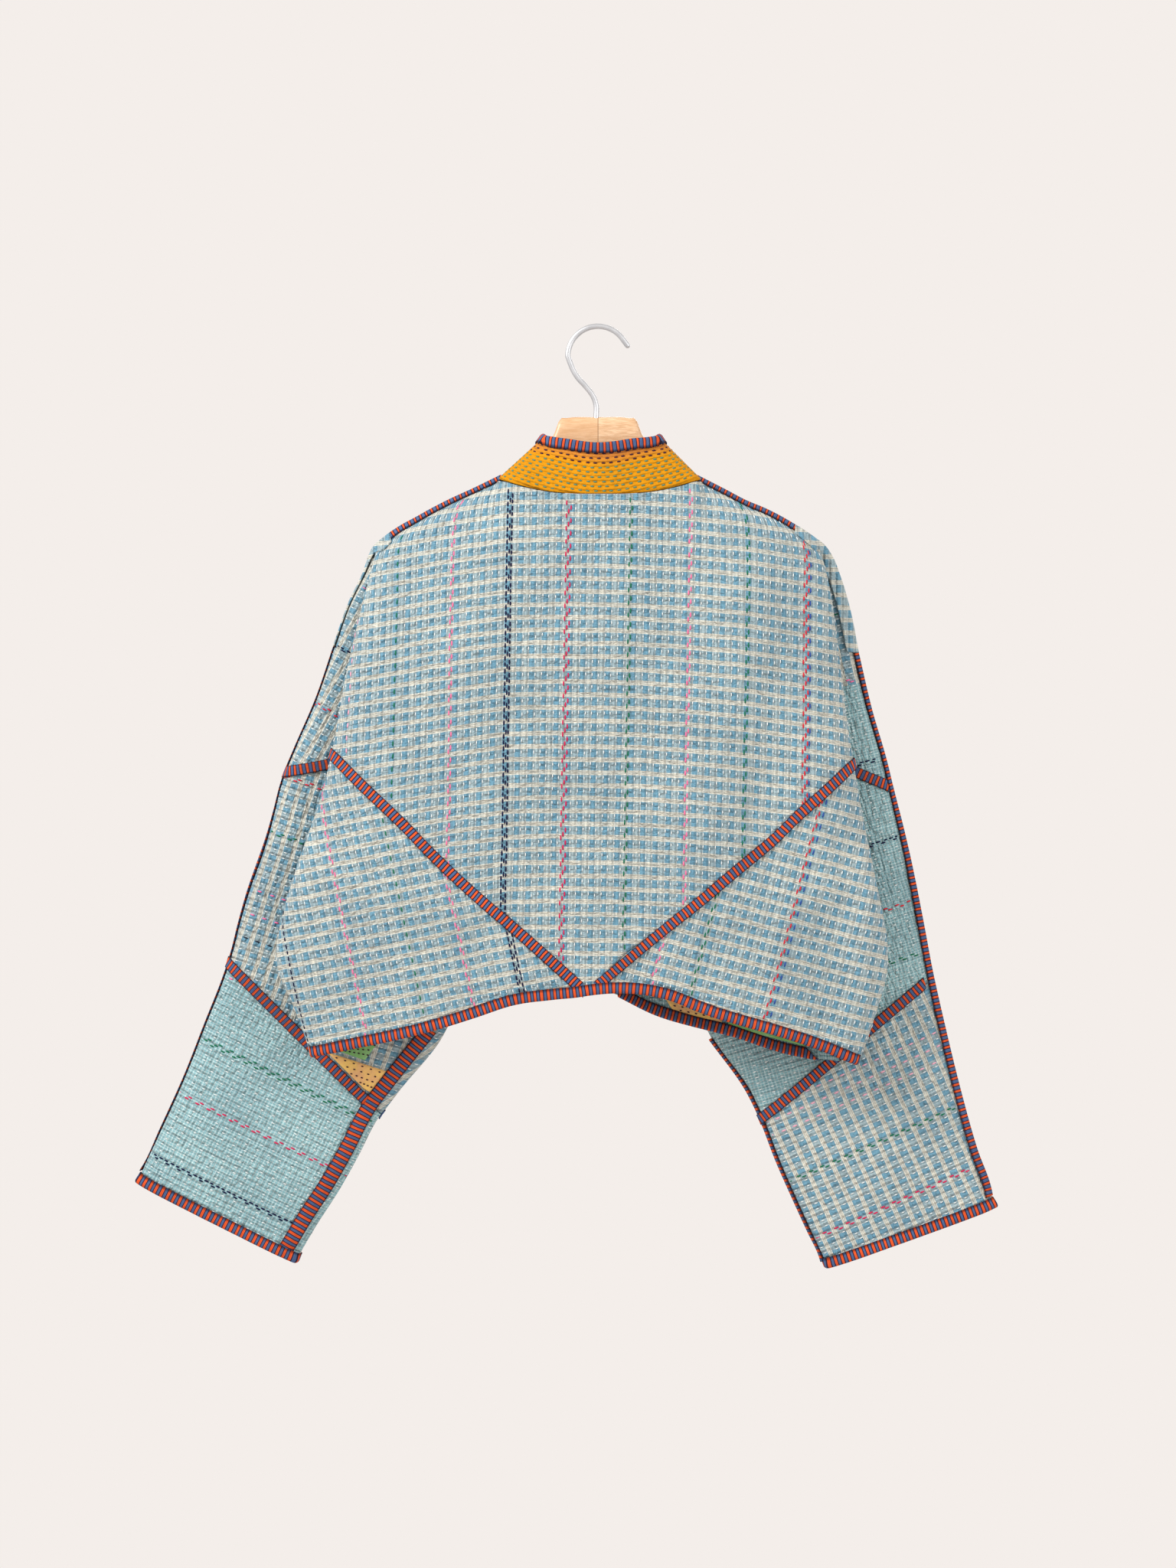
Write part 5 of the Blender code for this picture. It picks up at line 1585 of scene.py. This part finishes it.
def make_sleeve(side, yoke, front, seed):
    """A sleeve's six sections and their bindings, and the binding of the shoulder above it."""
    name = side.name
    backs, fronts = ([sleeve_panel(side, part, in_front) for part in SLEEVE_ROWS]
                     for in_front in (False, True))
    faces = (("back", backs, TO_VIEWER), ("front", fronts, TO_WALL))
    for face, grids, outward in faces:
        for part, grid in zip(SLEEVE_ROWS, grids):
            panel = Panel(f"sleeve_{face}_{part}_{name}", grid, "sleeve", SLEEVE_LEAN[name][part],
                          turned=True, start=0.5, sign=-side.sign, outward=outward)
            finish = AQUA_CLOTH if part in AQUA_PANELS[name] else CHECK_CLOTH
            if (name, part) == ("right", "upper"):
                finish = quilted_cloth(f"check_to_aqua_{face}", panel.line_through(RIGHT_UPPER_CHANGE))
            cloth_panel(panel, finish, quilt(panel, SLEEVE_LINES[name][part], seed + 20))
    make_shoulder(side, shoulder_strip(side, yoke, front, backs, fronts))
    strip = seam_strip(*under_lines(backs, fronts), (-side.sign, -0.5, -0.3), CLOSE_LAY_GAP)
    binding(f"binding_under_{name}", longer(strip, 0.0, 5.0), "sleeve", f"sleeve_back_middle_{name}", 0.52)
    for seam, above, below, last, part in (("midarm", 0, 1, 9, "middle"), ("elbow", 1, 2, 10, "cuff")):
        for face, parts, outward in faces:
            span = slice(1, last)
            strip = seam_between(parts[above], span, parts[below], span, outward)
            strip = longer(strip, *SEAM_REACH[seam, name]) if face == "back" else strip
            binding(f"binding_{seam}_{face}_{name}", strip, "sleeve", f"sleeve_{face}_{part}_{name}")
    edge, inside = (closed_ring(backs[2][row], fronts[2][row]) for row in (-1, -2))
    strip = ring_strip(edge, inside, TO_VIEWER)
    binding(f"binding_cuff_{name}", strip, "sleeve", f"sleeve_back_cuff_{name}", 0.52, True)


def make_shoulder(side, strip):
    """The binding along the shoulder and the arm, and the soft cloth head of the sleeve between them."""
    name = side.name
    first, last = HEAD_SPAN[name]
    head = strip[:, first:last + 1].copy()
    head[0] += unit(head[0] - head[1]) * HEAD_REACH
    piece_name, panel = f"cloth_sleeve_head_{name}", f"sleeve_back_upper_{name}"
    points = hang(dense(head, TAPE_STEP, TAPE_ROW_STEP), "sleeve")
    layout = np.stack([points[..., 0], -points[..., 2]], axis=-1)
    piece = put(piece_name, surface(piece_name, points, layout), CHECK_CLOTH, panel, whole=False)
    give_thickness(piece, TAPE)
    SHEETS[piece_name] = (piece, strip_cut(points), [])
    shoulder = longer(strip[:, :first + 1], 7.0, 0.0, 0.0)
    arm = longer(strip[:, last:], 0.0, 6.0)
    arm[0] = mix(arm[0], arm[1], np.linspace(*ARM_TAPE_ROLL[name], arm.shape[1])[:, None])
    binding(f"binding_shoulder_{name}", shoulder, "sleeve", "back_yoke", 0.40)
    binding(f"binding_shoulder_{name}", arm, "sleeve", panel, 0.44, part="tape_arm")


def make_collar():
    """The collar, sagging a little at its back, with its rows of stitches and its binding."""
    band = collar()
    sag = COLLAR_SAG * np.clip(1 - (band[..., 0] / COLLAR_SAG_REACH) ** 2, 0, 1) ** 2
    depth = np.linspace(1, 0, len(band))[:, None]
    band[..., 2] -= sag * depth * np.clip(band[..., 1] / COLLAR_BACK_Y, 0, 1)
    panel = Panel("collar", band, "sleeve", turned=True, start=0.5)
    panel.across, panel.along = lengths(panel.points, 0), lengths(panel.points, 1)
    panel.along -= panel.along[:, panel.along.shape[1] // 2][:, None]
    chance = np.random.default_rng(5)
    sewn = Stitching()
    beats = np.arange(-60, 61) * COLLAR_STITCH_PITCH
    for row in range(PLUM_ROWS[0], round(panel.across.max() / COLLAR_ROWS_APART)):
        starts = beats + chance.uniform(-0.7, 0.7, len(beats)) + COLLAR_STITCH_PITCH / 2 * (row % 2)
        found = panel.stitches_on(row * COLLAR_ROWS_APART, starts, COLLAR_STITCH)
        sewn.add(found, "plum" if row in PLUM_ROWS else "sage", LINE_THREAD_HALF)
    cloth_panel(panel, collar_cloth(), sewn)
    binding("binding_collar", edge_strip(band[0], band[1], TO_VIEWER), "sleeve", "collar", 0.44)


# Small patches on the cloth: the panel that each covers and its corners (x, z) in order. The last word
# of its name is its colour.
PATCHES = [
    ("patch_green", "sleeve_back_middle_left", [(-249, -673), (-205, -668), (-221, -690), (-244, -682)]),
    ("patch_tan", "sleeve_back_middle_left", [(-257, -682), (-199, -701), (-210, -724), (-222, -717)]),
    ("patch_inside_tan", "front_lower_right", [(62, -628), (112, -632), (118, -655), (72, -644)]),
    ("patch_inside_green", "front_lower_right", [(120, -640), (190, -650), (196, -676), (124, -657)]),
]
PATCH_ROWS, PATCH_COLUMNS = 10, 14
PATCH = 0.8
PATCH_LIFT = 0.7
PATCH_STITCH = (2.6, 0, -0.7)
PATCH_THREAD_HALF = 0.75
PATCH_STITCH_SINK = 0.5

# Y in metres that the patches are dropped from, in front of the sleeve and inside the body.
PATCH_FROM = {"sleeve_back_middle_left": -0.2, "front_lower_right": 0.0}


def patch_grid(under, corners):
    """Points of a patch that lies on a panel, dropped on it along the line of sight."""
    cover = bpy.data.objects[f"cloth_{under}"].data
    tree = BVHTree.FromPolygons([v.co for v in cover.vertices], [tuple(f.vertices) for f in cover.polygons])
    a, b, c, d = (np.array(corner, float) for corner in corners)
    grid = np.zeros((PATCH_ROWS, PATCH_COLUMNS, 3))
    for i in range(PATCH_ROWS):
        for j in range(PATCH_COLUMNS):
            u, v = j / (PATCH_COLUMNS - 1), i / (PATCH_ROWS - 1)
            x, z = mix(mix(a, b, u), mix(d, c, u), v)
            hit = tree.ray_cast(Vector((x * MM, PATCH_FROM[under], z * MM)), Vector(TO_WALL))[0]
            y = hit.y / MM if hit else grid[i, j - 1, 1] + CLOTH / 2 + PATCH_LIFT
            grid[i, j] = (x, y - CLOTH / 2 - PATCH_LIFT, z)
    return grid


def make_patches():
    """Patches darned on the cloth, with dark running stitches."""
    finishes = {
        "green": patch_cloth("green_patch", (0.20, 0.44, 0.14), (0.27, 0.50, 0.20)),
        "tan": patch_cloth("tan_patch", (0.78, 0.43, 0.20), (0.88, 0.56, 0.16)),
    }
    for name, under, corners in PATCHES:
        grid = patch_grid(under, corners)
        finish = finishes[name.split("_")[-1]]
        piece = put(name, surface(name, grid, grid[..., ::2]), finish, under, whole=False)
        give_thickness(piece, PATCH)
        sewn = Stitching()
        for i in range(1, PATCH_ROWS - 1, 2):
            starts = grid[i, 1 + i // 2 % 2:-1:2]
            ends = starts + np.array(PATCH_STITCH)
            sink = (0, CLOTH / 2 - PATCH_STITCH_SINK, 0)
            normals = np.tile((0.0, -1.0, 0.0), (len(starts), 1))
            sewn.add((starts + sink, ends + sink, normals), "plum", PATCH_THREAD_HALF)
        SHEETS[under][-1].extend([piece, sew(f"stitches_{name}", sewn, under)])


BAR_STATIONS = [0, 6, 12, 18, 24, 30, 34, 37, 39, 41, 43, 46, 50, 54, 62, 70, 84, 97, 115, 133, 150, 164, 176,
                188, 194, 197]
BAR_AROUND = 28
BAR_ROUNDING = 0.8


def make_bar():
    """The hanger's bar: rounded sections from tip to tip along the shoulders."""
    tables = (BAR_TOP, BAR_BOTTOM, BAR_HALF_DEPTH, BAR_SET_BACK)
    top, bottom, half_depth, set_back = (through(table) for table in tables)
    turns = 2 * math.pi * np.arange(BAR_AROUND + 1) / BAR_AROUND
    across = np.copysign(np.abs(np.sin(turns)) ** BAR_ROUNDING, np.sin(turns))
    sections = []
    for x in [-out for out in BAR_STATIONS[:0:-1]] + BAR_STATIONS:
        high, low = top(abs(x)), bottom(abs(x))
        y = ridge_y(x) + set_back(abs(x)) + half_depth(abs(x)) * across
        z = (high + low) / 2 + (high - low) / 2 * np.cos(turns)
        sections.append(np.stack([np.full(BAR_AROUND + 1, x), y, z], axis=-1))
    points = np.array(sections, float)
    mesh = surface("hanger_bar_wood", points, points[..., ::2])
    weld(mesh, solid=True)
    put("hanger_bar_wood", mesh, wood_finish(), "hanger_bar")


# The hook's circle begins at this angle behind its tip, in degrees, with so many points round it. Its
# shank is this much finer than its guide, and the tip is rounded in these angles.
HOOK_START = 40
HOOK_POINTS = 30
SHANK_FINENESS = 5
TIP_ANGLES = (88, 80, 66, 48, 25, 0)


def make_hook():
    """The hook: round wire on an open circle and an S-shaped shank, with a rounded tip."""
    route = [(HOOK_RADIUS * math.cos(angle), HOOK_CENTRE_Z + HOOK_RADIUS * math.sin(angle))
             for angle in np.radians(np.linspace(HOOK_START, 180, HOOK_POINTS))]
    ahead = unit(np.subtract(HOOK_TIP, route[0]))
    tip = [(np.array(HOOK_TIP) + ahead * HOOK_WIRE * (math.sin(angle) - 1), math.cos(angle))
           for angle in np.radians(TIP_ANGLES)]
    lower = [route[-1], *SHANK]
    x_of, z_of = (through(list(enumerate(values))) for values in zip(*lower))
    steps = range(1, SHANK_FINENESS * len(SHANK) + 1)
    route += [(x_of(i / SHANK_FINENESS), z_of(i / SHANK_FINENESS)) for i in steps]
    curve = bpy.data.curves.new("hook_wire", "CURVE")
    curve.dimensions = "3D"
    curve.bevel_depth = HOOK_WIRE * MM
    curve.bevel_resolution = 5
    curve.use_fill_caps = True
    spline = curve.splines.new("POLY")
    stations = tip + [(place, 1.0) for place in route]
    spline.points.add(len(stations) - 1)
    for point, ((x, z), radius) in zip(spline.points, stations):
        point.co = (x * MM, 0, z * MM, 1)
        point.radius = radius
    put("hook_wire", curve, metal_finish(), "hanger_hook")


# The scene around it.

FLOOR_Z = -1.6
FLOOR_RADIUS = 1.55
FLOOR_COLOUR = (0.62, 0.590, 0.570)
BACKDROP = (0.905, 0.855, 0.823)
AMBIENT = 0.85
AIM = (-0.0094, 0.0, -0.428)
CAMERA_DISTANCE = 2.868
LENS = 70.0
SENSOR_HEIGHT = 36.0


LIGHTS = [
    ("window", (-2.2, -1.5, 1.5), 1.2, 95),
    ("fill", (2.2, -2.0, 0.4), 2.0, 36),
    ("wall_side", (0.8, 2.4, 0.8), 1.8, 26),
]


def make_floor():
    """A round pale floor well below the jacket."""
    plane = bmesh.new()
    bmesh.ops.create_circle(plane, cap_ends=True, segments=64, radius=FLOOR_RADIUS)
    bmesh.ops.translate(plane, verts=plane.verts, vec=(0, 0, FLOOR_Z))
    mesh = bpy.data.meshes.new("floor")
    plane.to_mesh(mesh)
    plane.free()
    finish, _, shader = new_material("pale_floor", 0.9)
    shader["Base Color"].default_value = (*FLOOR_COLOUR, 1)
    mesh.materials.append(finish)
    add_object("floor", mesh)


def make_studio():
    """Soft daylight from the upper left, a pale surround and the photograph's viewpoint."""
    make_floor()
    for name, place, size, power in LIGHTS:
        lamp = bpy.data.lights.new(name, "AREA")
        lamp.shape = "DISK"
        lamp.size = size
        lamp.energy = power
        made = add_object(name, lamp)
        made.location = place
        made.rotation_euler = (Vector(AIM) - Vector(place)).to_track_quat("-Z", "Y").to_euler()
    world = bpy.data.worlds.new("surround")
    world.use_nodes = True
    air = world.node_tree
    sky = air.nodes["Background"].inputs
    sky[0].default_value = (*BACKDROP, 1)
    seen = new_node(air, "ShaderNodeLightPath").outputs["Is Camera Ray"]
    air.links.new(new_node(air, "ShaderNodeMapRange", {0: seen, 3: AMBIENT, 4: 1.0}).outputs[0], sky[1])
    bpy.context.scene.world = world
    bpy.context.scene.view_settings.view_transform = "Standard"
    lens = bpy.data.cameras.new("view")
    lens.lens = LENS
    lens.sensor_fit = "VERTICAL"
    lens.sensor_height = SENSOR_HEIGHT
    camera = add_object("view", lens)
    camera.location = (AIM[0], AIM[1] - CAMERA_DISTANCE, AIM[2])
    camera.rotation_euler = (math.pi / 2, 0, 0)
    bpy.context.scene.camera = camera


THREAD = thread_finish()
CHECK_CLOTH = quilted_cloth("check_cloth")

# Aqua from far outside the layout on is aqua all over.
AQUA_CLOTH = quilted_cloth("aqua_cloth", -5000.0)
STRIPES = {share: striped_cloth(share) for share in (0.40, 0.44, 0.48, 0.52)}

make_studio()
make_body()
make_collar()
make_patches()
make_bar()
make_hook()
